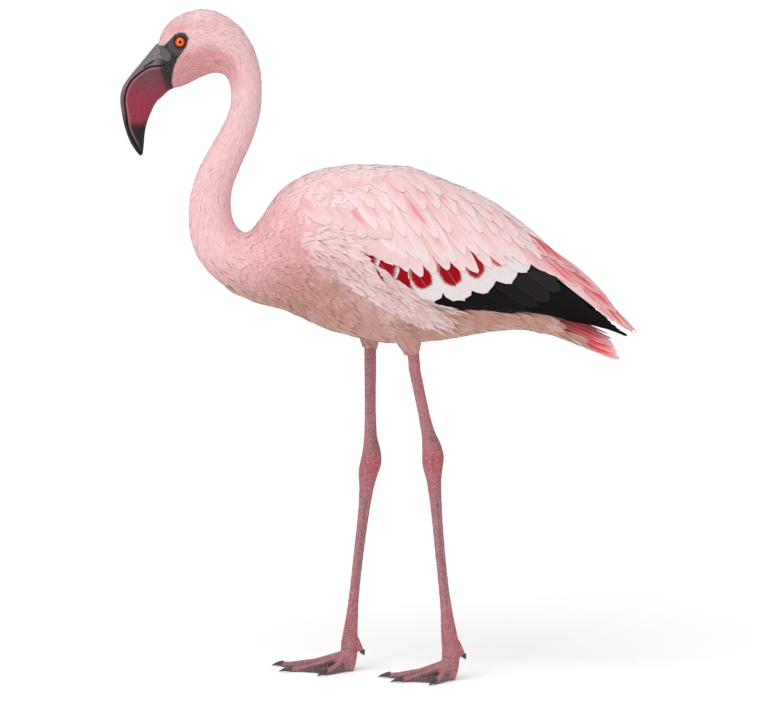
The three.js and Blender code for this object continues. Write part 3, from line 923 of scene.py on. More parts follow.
def facePaint():
    paint = Paint("bareFaceSkin", {"Specular IOR Level": 0.25})
    place = paint.place()
    grain = paint.noise(place, 700, detail=4)
    crease = paint.cells(paint.stretched(place, (1, 0.8, 1.3)), 620, "DISTANCE_TO_EDGE")
    swell = crease.step(0.0, 0.22)  # 0 in the creases, 1 between them
    colour = paint.mix(grain.step(0.42, 0.72) * 0.55, paint.tint(), rgba(linear(116, 104, 112)))
    # Painted shade: darker in the creases.
    colour = paint.mix((1 - swell) * 0.4, colour, rgba(linear(20, 17, 19)))
    height = swell * 0.7 + grain * 0.6
    return paint.finish(colour, 0.62 - grain * 0.15, height, 0.5, 0.0005)


def legPaint():
    paint = Paint("scalyLegSkin", {"Specular IOR Level": 0.45, "Coat Weight": 0.08, "Coat Roughness": 0.35})
    # Scales cover the leg; where it is ringed, straight bands cross its front and the toes.
    place = paint.place()
    reach = paint.number("place")
    ringed = paint.number("ringed")
    warp = paint.noise(place, 260, detail=2)
    tall = paint.stretched(place, (1, 1, 1.35))
    scale = paint.cells(tall, 640, "DISTANCE_TO_EDGE").step(0.02, 0.2)
    grey = paint.apart(paint.cells(tall, 640, "F1", output=1))[0]
    wave = (reach * 2150 + warp * 3.0).maths("SINE") * 0.5 + 0.5
    rings = wave.step(0.05, 0.55)
    height = scale * (1 - ringed * 0.8) + rings * ringed
    tone = grey * (1 - ringed * 0.5)
    colour = paint.mix(tone.step(0.3, 1.0) * 0.42, paint.tint(), rgba(linear(226, 180, 180)))
    colour = paint.mix((1 - tone).step(0.6, 1.0) * 0.4, colour, rgba(linear(122, 88, 96)))
    # Painted shade: darker in the grooves between the scales and between the rings.
    colour = paint.mix((1 - height) * 0.4, colour, rgba(linear(104, 66, 74)))
    grain = paint.noise(place, 1500, detail=3)
    colour = paint.mix(grain * 0.25, colour, rgba(linear(150, 96, 102)), "OVERLAY")
    return paint.finish(colour, 0.5 + (1 - height) * 0.2, height + grain * 0.25, 0.75, 0.0006)


legTop = 423 * mm  # scaly below this height, downy above it


def dressSkin(thing):
    points = pointsOf(thing)
    legTone, place, ringed = legTint(points)
    tint = blend(plumageTint(points), faceTint(points), bareAt(points))
    writeTint(thing, np.where(points[:, 2:] < legTop, legTone, tint))
    writeValue(thing, place, "place")
    writeValue(thing, ringed, "ringed")
    thing.data.materials.clear()
    for paint in (downPaint(), facePaint(), legPaint()):
        thing.data.materials.append(paint)
    centres = np.empty(len(thing.data.polygons) * 3)
    thing.data.polygons.foreach_get("center", centres)
    centres = centres.reshape(-1, 3)
    kind = np.where(bareAt(centres) > 0.5, 1, 0)
    kind = np.where(centres[:, 2] < legTop, 2, kind)
    thing.data.polygons.foreach_set("material_index", kind.astype(np.int32))


dressSkin(skin)


def pastSeam(points, corner):
    # How far out from the bill's seam with the face a point is, measured from one end of the seam.
    return (points[:, 1:] - np.array(billShape[corner]) * mm) @ np.array([-0.955, -0.296])


def billTint(points, part):
    side = points[:, 1:]
    z = points[:, 2]
    mouth = toLine(side, mouthLine)[0]
    rng = np.random.default_rng(11)
    across = points[:, 1] * 1000 + z * 180
    waves = np.sin(across * 2.3) + np.sin(across * 4.1 + 1)
    waves = waves + 0.7 * np.sin(across * 7.3 + points[:, 0] * 500)
    streak = 1.9 * mm * waves + rng.normal(0, 0.3 * mm, len(z))
    if part == "upper":
        tint = np.tile(billLook["slate"], (len(points), 1))
        tint = blend(tint, billLook["mauve"], smoothStep(795 * mm, 765 * mm, z))
        tint = blend(tint, billLook["plum"], smoothStep(755 * mm, 735 * mm, z) * 0.8)
        tint = blend(tint, billLook["black"], smoothStep(728 * mm, 706 * mm, z + streak * 0.6))
        slit = toLine(side, nostrilLine)[0]
        tail = toLine(side, nostrilTail)[0]
        lobe = toLine(side, lobeLine)[0]
        tint = blend(tint, billLook["maroon"], 0.45 * bell(tail, 0, 1.8 * mm))
        # The nostril slit and the lobe's groove are painted black: painted shade in the carved grooves.
        tint = blend(tint, billLook["black"], bell(slit, 0, 1.0 * mm) + 0.55 * bell(lobe, 0, 0.8 * mm))
        # Black along the mouth: partly the black cutting edge, partly painted shade in the gap between the
        # halves.
        tint = blend(tint, billLook["black"], 1 - smoothStep(0.7 * mm, 1.7 * mm, mouth))
        outsideLobe = 1 - outlineMask(side, hornLobe, 1.4 * mm)
        root = smoothStep(0.0, 9 * mm, pastSeam(points, "seamStart"))
        return blend(tint, faceLook["dark"], 0.8 * (1 - root) * outsideLobe)
    tint = np.tile(billLook["maroon"], (len(points), 1))
    tint = blend(tint, billLook["umber"],
                 smoothStep(-286 * mm, -270 * mm, points[:, 1] - (z - 760 * mm) * 0.3) * 0.8)
    tint = blend(tint, billLook["crimson"],
                 smoothStep(772 * mm, 738 * mm, z - points[:, 1] * 0.1 - 30 * mm + streak * 2))
    tint = blend(tint, billLook["black"], smoothStep(713 * mm, 702 * mm, z + streak))
    # A painted highlight: a paler line along the raised ridge below the mouth.
    highlightRim = bell(mouth, 2.6 * mm, 1.3 * mm) * smoothStep(668 * mm, 700 * mm, z)
    tint = blend(tint, billLook["highlightRim"], 0.6 * highlightRim)
    # Black along the mouth: partly the black cutting edge, partly painted shade in the gap between the
    # halves.
    tint = blend(tint, billLook["black"], 1 - smoothStep(0.6 * mm, 1.4 * mm, mouth))
    root = smoothStep(2 * mm, 9 * mm, pastSeam(points, "seamEnd"))
    return blend(tint, faceLook["dark"], 0.85 * (1 - root))


def billPaint():
    paint = Paint("billHorn", {"Coat Weight": 0.08, "Coat Roughness": 0.3, "Specular IOR Level": 0.35})
    place = paint.place()
    turned = paint.node("Mapping", {"vector_type": "TEXTURE"},
                        {"Vector": place, "Rotation": (math.radians(12), 0, 0), "Scale": (1, 0.35, 4.0)})
    grain = paint.noise(turned, 520, detail=4)
    mottle = paint.noise(place, 240, detail=4)
    pores = paint.noise(place, 1600, detail=2)
    colour = paint.mix(grain.step(0.45, 0.8) * 0.4, paint.tint(), rgba(linear(196, 140, 150)), "SOFT_LIGHT")
    colour = paint.mix((1 - mottle).step(0.45, 0.8) * 0.45, colour, rgba(linear(60, 46, 52)), "MULTIPLY")
    height = grain * 0.5 + mottle * 0.4 + pores * 0.2
    return paint.finish(colour, 0.36 + mottle * 0.25, height, 0.3, 0.0006)


sharedBill = billPaint()
for part, bill in bills.items():
    writeTint(bill, billTint(pointsOf(bill), part))
    bill.data.materials.append(sharedBill)
print("skin and bill are painted")

skinTree = BVHTree.FromObject(skin, bpy.context.evaluated_depsgraph_get())


def evenly(gap):
    # A spacing that is the same everywhere.
    return lambda points: np.full(len(points), gap)


def scatter(thing, spacingAt, keepAt, seed):
    # Roots spread evenly over a mesh, as far apart as spacingAt says, where keepAt is true.
    tries = 3.2  # for each square of the spacing
    closest = 0.78  # of the spacing
    rng = np.random.default_rng(seed)
    thing.data.calc_loop_triangles()
    corners = np.empty(len(thing.data.loop_triangles) * 3, np.int32)
    thing.data.loop_triangles.foreach_get("vertices", corners)
    a, b, c = pointsOf(thing)[corners.reshape(-1, 3)].transpose(1, 0, 2)
    centre = (a + b + c) / 3
    area = np.linalg.norm(np.cross(b - a, c - a), axis=1) / 2
    spacing = spacingAt(centre)
    count = rng.poisson(np.where(keepAt(centre), tries * area / spacing ** 2, 0))
    a, b, c = (np.repeat(corner, count, axis=0) for corner in (a, b, c))
    spacing = np.repeat(spacing, count)
    u, v = rng.random((2, len(a), 1))
    over = u + v > 1
    u, v = np.where(over, 1 - u, u), np.where(over, 1 - v, v)
    places = a + u * (b - a) + v * (c - a)
    order = rng.permutation(len(places))
    places, spacing = places[order], spacing[order]
    tree = KDTree(len(places))
    for index, place in enumerate(places):
        tree.insert(place, index)
    tree.balance()
    taken = np.zeros(len(places), bool)
    kept = []
    for index in range(len(places)):
        if taken[index]:
            continue
        kept.append(index)
        for _, other, _ in tree.find_range(places[index], spacing[index] * closest):
            taken[other] = True
    return places[kept]


def marchOver(tree, roots, ways, lengths, rings, droop=0):
    # Lays each feather's middle on a surface: its places and the normals there. Droop bends it down.
    places = np.empty((len(roots), rings, 3))
    normals = np.empty((len(roots), rings, 3))
    for index, (root, way, length) in enumerate(zip(roots, ways, lengths)):
        place, normal, _, _ = tree.find_nearest(Vector(root))
        way = Vector(way)
        step = length / (rings - 1)
        for ring in range(rings):
            places[index, ring] = place
            normals[index, ring] = normal
            if ring < rings - 1:
                way = way - normal * way.dot(normal) - Vector((0, 0, droop / (rings - 1)))
                way.normalize()
                place, normal, _, _ = tree.find_nearest(place + way * step)
    return places, normals


def solidFrom(title, points, quads, triangles):
    # A smooth mesh from its points and the corners of its faces.
    mesh = bpy.data.meshes.new(title)
    mesh.vertices.add(len(points))
    mesh.vertices.foreach_set("co", np.ascontiguousarray(points, np.float32).ravel())
    corners = np.concatenate([quads.ravel(), triangles.ravel()]).astype(np.int32)
    mesh.loops.add(len(corners))
    mesh.loops.foreach_set("vertex_index", corners)
    starts = np.concatenate([np.arange(len(quads)) * 4, len(quads) * 4 + np.arange(len(triangles)) * 3])
    mesh.polygons.add(len(starts))
    mesh.polygons.foreach_set("loop_start", starts.astype(np.int32))
    mesh.update(calc_edges=True)
    mesh.validate()
    mesh.shade_smooth()
    thing = bpy.data.objects.new(title, mesh)
    scene.collection.objects.link(thing)
    return thing


def turnCorners(thing, *normals):
    # Sets each face corner's shading normal.
    thing.data.normals_split_custom_set(np.concatenate(normals).tolist())


def writeMap(thing, places, name):
    # A UV map from one place for each vertex.
    corners = np.empty(len(thing.data.loops), np.int32)
    thing.data.loops.foreach_get("vertex_index", corners)
    made = thing.data.uv_layers.new(name=name)
    made.data.foreach_set("uv", places[corners].astype(np.float32).ravel())


def bodyMap(points):
    # The skin unrolled round the body's middle line: how far along it, and the angle round it.
    reach, way, gap = alongBody(points)
    back = gap[:, 1] * way[:, 0] - gap[:, 0] * way[:, 1]
    angle = np.arctan2(points[:, 0], back)
    return np.stack([reach / spineReach[-1], angle / (2 * math.pi) + 0.5], axis=1)


patchSize = 0.003  # each tuft's patch on the map
edgeLean = 0.14  # how far a blade's shading turns aside at its edges
underPart = 0.4  # a blade is this much as thick below its middle as above it


def strips(title, spine, normals, half, thick, tint, roots=None):
    # Solid blades with four corners to a ring and a pointed tip, all in one mesh.
    count, rings, _ = spine.shape
    way = unit(np.gradient(spine, axis=1))
    across = unit(np.cross(way, normals))
    over = unit(np.cross(across, way))
    reach = across * half[:, :, None]
    rise = over * thick[:, :, None]
    ring = np.stack([spine - reach, spine + rise, spine + reach, spine - rise * underPart], axis=2)
    size = (rings - 1) * 4 + 1
    points = np.concatenate([ring[:, :-1].reshape(count, -1, 3), spine[:, -1:]], axis=1).reshape(-1, 3)
    last = 4 * (rings - 2)
    quads = [(4 * k + i, 4 * k + (i + 1) % 4, 4 * k + 4 + (i + 1) % 4, 4 * k + 4 + i)
             for k in range(rings - 2) for i in range(4)] + [(3, 2, 1, 0)]
    triangles = [(last + i, last + (i + 1) % 4, size - 1) for i in range(4)]
    first = np.arange(count)[:, None, None] * size
    thing = solidFrom(title, points, (first + np.array(quads)).reshape(-1, 4),
                      (first + np.array(triangles)).reshape(-1, 3))
    writeTint(thing, tint.reshape(-1, 3))
    # Shading normals lean out of the body, so that the blades read as one soft surface.
    lean = unit(normals * 0.8 + over * 0.2)
    turned = np.stack([unit(lean - across * edgeLean), lean, unit(lean + across * edgeLean), lean], axis=2)
    outer = np.concatenate([turned[:, :-1].reshape(count, -1, 3), lean[:, -1:]], axis=1)
    inner = -np.concatenate([np.repeat(lean[:, :-1], 4, axis=1), lean[:, -1:]], axis=1)
    bySide = [[(outer if index % 4 < 2 and index < len(faces) - extra else inner)[:, face]
               for index, face in enumerate(faces)] for faces, extra in ((quads, 1), (triangles, 0))]
    turnCorners(thing, *[np.concatenate(part, axis=1).reshape(-1, 3) for part in bySide])
    # On the map each blade has a small patch of its own, at its root's place on the body.
    places = bodyMap(spine[:, 0] if roots is None else roots)
    low, high = places.min(axis=0), places.max(axis=0)
    places = 0.01 + 0.98 * (places - low) / np.maximum(high - low, 1e-6)
    spot = np.array([[-1, k / rings] for k in range(rings - 1) for _ in range(4)] + [[0, 1]])
    spot[:-1, 0] = np.tile([-1, 0, 1, 0], rings - 1)
    spot = spot * np.array([0.5, 1]) * patchSize
    writeMap(thing, (places[:, None] + spot[None]).reshape(-1, 2), "OFBake")
    thing.data.materials.append(softFeather)
    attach(thing, "root")
    print(f"{title}: {count} blades, {count * (8 * (rings - 2) + 6)} triangles")


bladeShade = (0.93, 1.04)  # a blade's brightness at its root and at its tip


def stripTint(colours, rings):
    # Each blade's colour, for every corner in turn.
    rows = colours[:, None, :] * np.linspace(*bladeShade, rings)[None, :, None]
    body = np.repeat(rows[:, :-1], 4, axis=1)
    return np.concatenate([body, rows[:, -1:]], axis=1)


def varied(tint, rng, spread=0.08, pale=0.3, deep=0.22):
    # Feather to feather changes: some paler, some deeper.
    tint = tint * (1 + rng.uniform(-spread, spread * 0.6, len(tint)))[:, None]
    tint = blend(tint, plumage["cream"], pale * rng.random(len(tint)) ** 3)
    return blend(tint, plumage["rose"] * 0.8, deep * rng.random(len(tint)) ** 4)


def featherPaint():
    paint = Paint("softFeather", {"Specular IOR Level": 0.2, "Sheen Weight": 0.25, "Sheen Roughness": 0.5})
    fine = paint.noise(paint.place(), 900)
    colour = paint.mix(fine * 0.25, paint.tint(), rgba(linear(226, 168, 168)), "MULTIPLY")
    return paint.finish(colour, fine * 0.12 + 0.78, fine, 0.25, 0.0004)


# The tufts' sizes in millimetres, each from its value at the coat's front to that at its back.
# The lift is a tuft's height over the skin, at its root and at its tip.
headCoat = {
    "spacing": (1.5, 2.1),
    "length": (4.2, 9.5),
    "half": (0.65, 1.0),
    "lift": (0.25, 0.95),
    "thick": 0.12,
    "seed": 21,
}
neckCoat = {
    "spacing": (2.0, 3.3),
    "length": (10.0, 19.0),
    "half": (1.2, 2.1),
    "lift": (0.3, 1.35),
    "thick": 0.14,
    "seed": 22,
}
tuftProfile = np.array([0.6, 1.0, 0.8, 0.0])  # a tuft's width at each of its rings


tuftJitter = 0.16  # how unevenly the tufts lie


def flowAt(points, rng, jitter):
    # The lie of the feathers: along the body, drooping on the trunk's sides, a little uneven.
    reach, way, gap = alongBody(points)
    flow = np.stack([np.zeros(len(points)), way[:, 0], way[:, 1]], axis=1)
    onTrunk = smoothStep(0.44, 0.52, reach)
    upper = smoothStep(-0.02, 0.05, gap[:, 1])
    flow[:, 2] -= onTrunk * (0.12 + 0.55 * upper)
    flow[:, 0] += onTrunk * upper * np.sign(points[:, 0]) * 0.1
    return unit(flow + rng.normal(0, jitter, flow.shape))


def strokeCoat(title, look, keepAt, shareAt):
    # A coat of single tufts. shareAt is 0 at the coat's front and 1 at its back.
    rng = np.random.default_rng(look["seed"])

    def sized(name, points):
        low, high = look[name]
        return (low + (high - low) * shareAt(points)) * mm

    roots = scatter(skin, lambda points: sized("spacing", points), keepAt, look["seed"])
    rings = len(tuftProfile)
    ways = flowAt(roots, rng, tuftJitter)
    lengths = sized("length", roots) * rng.uniform(0.75, 1.2, len(roots))
    places, normals = marchOver(skinTree, roots, ways, lengths, rings)
    # Feathers rooted on the step between the skin's finer and coarser parts are left out.
    reach, way, _ = alongBody(roots)
    aligned = np.abs((normals[:, 0, 1:] * way).sum(axis=1))
    kept = (np.abs(reach - skinShape["headEnd"]) > 8 * mm) | (aligned < 0.5)
    roots, places, normals = roots[kept], places[kept], normals[kept]
    count = len(roots)
    share = np.linspace(0, 1, rings)
    low, high = look["lift"]
    half = sized("half", roots)
    grow = (half / half.max())[:, None]
    lift = (low + (high - low) * share[None] ** 0.8 * rng.uniform(0.65, 1.05, (count, 1))) * grow * mm
    # Where the coat grows deeper the tips rise with it, over the roots of the next part's feathers.
    deeper = np.maximum(coatDepth(roots) - skinShape["neckDepth"] - 0.15 * mm, 0)
    lift = lift + deeper[:, None] * share[None]
    spine = places + normals * lift[:, :, None]
    half = half[:, None] * tuftProfile[None] * rng.uniform(0.8, 1.2, (count, 1))
    thick = np.full((count, rings), look["thick"] * mm) * (tuftProfile[None] * 0.8 + 0.2)
    tint = stripTint(varied(plumageTint(roots), rng), rings)
    strips(title, spine, normals, half, thick, tint)


def onNeck(points):
    reach = alongBody(points)[0]
    return (reach > 0.13) & (reach < 0.44) & (points[:, 2] > 0.45)


softFeather = featherPaint()
strokeCoat("coat_head", headCoat,
           lambda points: (alongBody(points)[0] < 0.14) & (bareAt(points) < 0.55),
           lambda points: smoothStep(0.01, 0.10, alongBody(points)[0]))
strokeCoat("coat_neck", neckCoat, onNeck,
           lambda points: smoothStep(0.13, 0.42, alongBody(points)[0]))


def makeOuterForm(title, parts):
    # The outside of some nodes, which feathers are laid on. It is taken away at the end.
    names = ["neck_middle", "neck_lower", "trunk", "tail"]
    names += [f"{part}_{side}" for side in sides for part in parts]
    form = grown(copyOf(names, title), 0.5 * mm)
    remeshed(form, 3.4 * mm, 20)
    return form, BVHTree.FromObject(form, bpy.context.evaluated_depsgraph_get())


outerForm, outerTree = makeOuterForm("outerForm", ("thigh", "wing", "flight"))
trunkForm, trunkTree = makeOuterForm("trunkForm", ("thigh",))


def atSide(side, y, z):
    # The place on the outer form where the side view shows this [y, z], in millimetres.
    sign = sides[side]
    hit = outerTree.ray_cast(Vector((sign * 0.3, y * mm, z * mm)), Vector((-sign, 0, 0)))[0]
    return hit or outerTree.find_nearest(Vector((sign * 0.012, y * mm, z * mm)))[0]


vaneColumns = np.array([-1, -0.74, -0.42, -0.09, 0, 0.09, 0.42, 0.74, 1.0])


def vaneFrame(share, sign=1):
    # For each place of a vane's grid: how far along it is, and its column.
    return np.tile(share[:, None], (1, len(vaneColumns))), np.tile(vaneColumns * sign, (len(share), 1))


def raggedEnds(roundness, fringe, half, length, rng):
    # Where each column of a vane ends, in parts of its length.
    ends = 1 - roundness * np.abs(vaneColumns) ** 2.2 * half / length
    return ends * (1 - fringe * rng.random(len(vaneColumns)))


# What a vane has where its row doesn't say otherwise. A row gives its width in millimetres too, how round
# its end is, and its lift, the height of root and tip over the body. Camber, bow, tilt and shaft are in
# millimetres, taper and fringe in parts.
vaneLook = {
    "rings": 12,
    "camber": 0.4,
    "taper": 0.15,
    "fringe": 0.03,
    "bow": 0,
    "tilt": 0,
    "shaft": 0.12,
}


def vaneGrid(tree, root, tip, look, rng):
    # One large feather as a grid of places: along it from root to tip, and across from edge to edge.
    rings = look["rings"]
    length = (tip - root).length
    half = look["width"] / 2 * mm
    share = np.linspace(0, 1, rings)
    width = half * smoothStep(-0.25, 0.35, share) * (1 - look["taper"] * smoothStep(0.45, 1, share))
    ends = raggedEnds(look["round"], look["fringe"], half, length, rng)
    place, normal = tree.find_nearest(root)[:2]
    steps = 10
    line, over, aside = [], [], []
    for _ in range(steps + 1):
        way = tip - place
        left = max(way.length, 1e-5)
        way = way - normal * way.dot(normal)
        way.normalize()
        line.append(np.array(place))
        over.append(np.array(normal))
        aside.append(np.array(way.cross(normal)))
        place, normal = tree.find_nearest(place + way * min(left, length / steps))[:2]
    line, over, aside = np.array(line), np.array(over), np.array(aside)
    aside[-1] = aside[-2]
    places = np.linspace(0, 1, steps + 1)
    line = line + aside * (look["bow"] * mm * 4 * places * (1 - places))[:, None]

    def along(values, at):
        return np.stack([np.interp(at, places, values[:, axis]) for axis in range(3)], axis=-1)

    low, high = look["lift"]
    grid = np.empty((rings, len(vaneColumns), 3))
    normals = np.empty((rings, len(vaneColumns), 3))
    for column, offset in enumerate(vaneColumns):
        at = share * ends[column]
        up = unit(along(over, at))
        spots = along(line, at) + unit(along(aside, at)) * (width * offset)[:, None]
        for ring, spot in enumerate(spots):
            found, facing = tree.find_nearest(Vector(spot))[:2]
            spots[ring] = found
            up[ring] += np.array(facing)
        up = unit(up)
        lift = low + (high - low) * at + look["camber"] * (1 - offset ** 2) + look["tilt"] * offset
        lift = lift + look["shaft"] * (offset == 0)
        grid[:, column] = spots + up * (lift * mm)[:, None]
        normals[:, column] = up
    return grid, normals, share


vaneDepth = 0.28 * mm  # how thick a vane is


def vaneMesh(title, feathers, paint):
    # Joins feathers, each a grid with its normals and colours, into one mesh of thin closed vanes.
    rows, columns = feathers[0]["grid"].shape[:2]
    size = rows * columns
    # Top and underside share their rim, so only the inner places have a twin below.
    inner = [(i, j) for i in range(1, rows - 1) for j in range(1, columns - 1)]
    below = {spot: size + index for index, spot in enumerate(inner)}

    def under(i, j):
        return below.get((i, j), i * columns + j)

    quads = []
    for i in range(rows - 1):
        for j in range(columns - 1):
            a, b = i * columns + j, i * columns + j + 1
            c, d = (i + 1) * columns + j + 1, (i + 1) * columns + j
            quads.append((a, b, c, d))
            quads.append((under(i, j), under(i + 1, j), under(i + 1, j + 1), under(i, j + 1)))
    quads = np.array(quads)
    flips = np.where(np.arange(len(quads)) % 2, -1, 1)[:, None, None]
    picks = np.array([i * columns + j for i, j in inner])
    points, facing, tints, vanePlaces, bakePlaces = [], [], [], [], []
    cells = math.ceil(math.sqrt(len(feathers)))
    for index, feather in enumerate(feathers):
        top = feather["grid"].reshape(-1, 3)
        normals = feather["normals"].reshape(-1, 3)
        tint = feather["tint"].reshape(-1, 3)
        share = np.repeat(feather["share"], columns)
        across = np.tile(vaneColumns, rows)
        place = np.stack([across * feather["half"], share * feather["length"]], axis=1) * 1000
        corner = np.array([index % cells, index // cells]) + 0.06
        spot = corner + 0.88 * np.stack([across * 0.5 + 0.5, share], axis=1)
        points.append(np.vstack([top, top[picks] - normals[picks] * vaneDepth]))
        facing.append(np.vstack([normals, normals[picks]])[quads] * flips)
        tints.append(np.vstack([tint, tint[picks]]))
        vanePlaces.append(np.vstack([place, place[picks]]))
        bakePlaces.append(np.vstack([spot, spot[picks]]) / cells)
    corners = (np.arange(len(feathers)) * (size + len(inner)))[:, None, None] + quads[None]
    thing = solidFrom(title, np.concatenate(points), corners.reshape(-1, 4), np.empty((0, 3), int))
    writeTint(thing, np.concatenate(tints))
    writeMap(thing, np.concatenate(bakePlaces), "OFBake")
    writeMap(thing, np.concatenate(vanePlaces), "vane")
    turnCorners(thing, np.concatenate(facing).reshape(-1, 3))
    if any("patch" in feather for feather in feathers):
        patches, fades = [], []
        for feather in feathers:
            patch = feather.get("patch", np.full((rows, columns), -1.0)).ravel()
            patches.append(np.concatenate([patch, patch[picks]]))
            fades.append(np.full(size + len(inner), feather.get("fade", 0.0)))
        writeValue(thing, np.concatenate(patches), "patch")
        writeValue(thing, np.concatenate(fades), "fade")
    thing.data.materials.append(paint)
    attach(thing, "root")
    print(f"{title}: {len(feathers)} feathers, {len(feathers) * len(quads) * 2} triangles")


featherTones = {
    "red": linear(160, 0, 18),
    "fadedRed": linear(226, 116, 128),
    "white": linear(236, 226, 226),
    "black": linear(6, 4, 5),
    "charcoal": linear(44, 38, 38),
    "coral": linear(222, 72, 80),
    "salmon": linear(240, 150, 152),
    "pale": linear(245, 204, 205),
    "milk": linear(248, 226, 227),
}


def vanePaint(title, roughness=0.7, contrast=0.3, sheen=0.2, specular=0.25, shaftPart=0.15, shaftRise=0.5,
              patched=False):
    # Barbs run out from the shaft towards the tip; their clumps show as faint streaks.
    paint = Paint(title, {"Specular IOR Level": specular, "Sheen Weight": sheen})
    across, along, _ = paint.apart(paint.node("UVMap", {"uv_map": "vane"}))
    side = across.maths("ABSOLUTE")
    run = along - side * 1.6
    spot = paint.node("CombineXYZ", None, {0: side * 0.16, 1: run * 1.3, 2: across.maths("SIGN") * 3.0})
    clump = paint.noise(spot, 1.1, detail=3)
    fine = (run * 7.0 + clump * 4.0).maths("SINE") * 0.5 + 0.5
    shaft = 1 - side.step(0.15, 0.75)
    pale, deep = (clump - 0.42).step(0.0, 0.3), (0.5 - clump).step(0.0, 0.25)
    colour = paint.mix(pale * contrast, paint.tint(), rgba(linear(255, 236, 232)), "SOFT_LIGHT")
    colour = paint.mix(deep * contrast, colour, rgba(linear(214, 160, 160)), "MULTIPLY")
    if patched:
        fade = paint.number("fade")
        red = paint.mix(fade, rgba(featherTones["red"]), rgba(featherTones["fadedRed"]))
        ragged = paint.number("patch") + (clump - 0.5) * 0.7 + (fine - 0.5) * 0.08
        colour = paint.mix(ragged.step(-0.12, 0.2), colour, red)
        shaftPart = 0.12 + fade * 0.5
    colour = paint.mix(shaft * shaftPart, colour, rgba(linear(255, 240, 236)))
    height = fine * 0.35 + clump * 0.8 + shaft * shaftRise
    return paint.finish(colour, roughness + fine * 0.1, height, 0.35, 0.0005)


# Each row's colours come from such a function: share runs from root to tip, column from edge to edge, and
# the last value is the row's own, how strong its colour is.
def toned(name, share):
    return np.tile(featherTones[name], (*share.shape, 1))


def paleTint(share, column, rng, depth):
    # Pale vanes with a coral streak on one side of the shaft, and a paler tip.
    tint = blend(toned("pale", share), featherTones["milk"], rng.uniform(0.1, 0.75))
    lean = rng.choice([-0.4, 0.4])
    streak = bell(column, lean, 0.42) * smoothStep(0.0, 0.45, share) * (1 - smoothStep(0.68, 0.96, share))
    tint = blend(tint, featherTones["salmon"], np.clip(depth * streak * rng.uniform(0.3, 1.1), 0, 1))
    tint = blend(tint, featherTones["milk"], 0.55 * smoothStep(0.72, 1.0, share))
    return blend(tint, featherTones["salmon"], 0.3 * smoothStep(0.72, 1.0, column * np.sign(lean)))


def shoulderTint(share, column, rng, depth):
    # The milk white is dulled towards pale pink and darkened to 0.93 of it: a soft painted shade over the
    # shoulder.
    pink = 0.55 + 0.25 * rng.random() + 0.2 * (1 - share)
    tint = blend(toned("milk", share), featherTones["pale"], pink) * 0.93
    return blend(tint, featherTones["salmon"],
                 depth * bell(column, 0.3, 0.5) * (1 - smoothStep(0.3, 0.75, share)))


def covertTint(share, column, rng, fade):
    whiter = smoothStep(0.4, 0.8, np.abs(column)) + smoothStep(0.6, 0.75, share)
    return blend(toned("pale", share), featherTones["white"], np.clip(whiter, 0, 1))


def redPatch(share, column, rng, fade):
    # Above 0 inside the red patch before a covert's white tip. A fade below 0 makes the patch wider.
    above, below = rng.uniform(0.3, 0.4), 0.13 - (0.03 if fade > 0 else 0.12) * fade
    along = np.abs(share - 0.62) / np.where(share < 0.62, above, below)
    across = np.abs(column + 0.08) / (rng.uniform(0.62, 0.76) - 0.25 * fade)
    return 1 - (along ** 2.6 + across ** 2.6) ** (1 / 2.6)


def darkTint(share, column, rng, grey):
    tint = blend(toned("black", share), featherTones["charcoal"], grey)
    # Greyer edges and tip: a painted highlight along the dark feathers.
    highlightRim = smoothStep(0.8, 1.0, np.abs(column)) * 0.5 + 0.4 * smoothStep(0.94, 1.0, share)
    return blend(tint, featherTones["charcoal"] * 1.5, highlightRim * (0.15 + 0.5 * grey))


def tertialTint(share, column, rng, depth):
    # A coral heart with a pale lower edge and tip.
    tint = blend(toned("salmon", share), featherTones["pale"], smoothStep(0.1, 0.95, column) * 0.9)
    heart = bell(column, -0.3, 0.42) * smoothStep(0.1, 0.5, share) * (1 - smoothStep(0.84, 1.0, share))
    tint = blend(tint, featherTones["coral"], np.clip(depth * heart * rng.uniform(0.8, 1.3), 0, 1))
    return blend(tint, featherTones["pale"], 0.6 * smoothStep(0.86, 1.0, share))


def fringeTint(share, column, rng, depth):
    # Pale vanes of the folded wing's lower border, a little coral along their upper side.
    tint = blend(toned("pale", share), featherTones["milk"], rng.uniform(0.0, 0.5))
    fading = 1 - 0.6 * smoothStep(0.88, 1.0, share)
    streak = bell(column, -0.35, 0.5) * smoothStep(0.3, 0.7, share) * fading
    return blend(tint, featherTones["coral"], np.clip(depth * streak * rng.uniform(0.5, 1.3), 0, 1))


rowHabits = {"stray": 1.6, "sway": 1.6}  # how far tips stray, in millimetres, and angles sway, in degrees


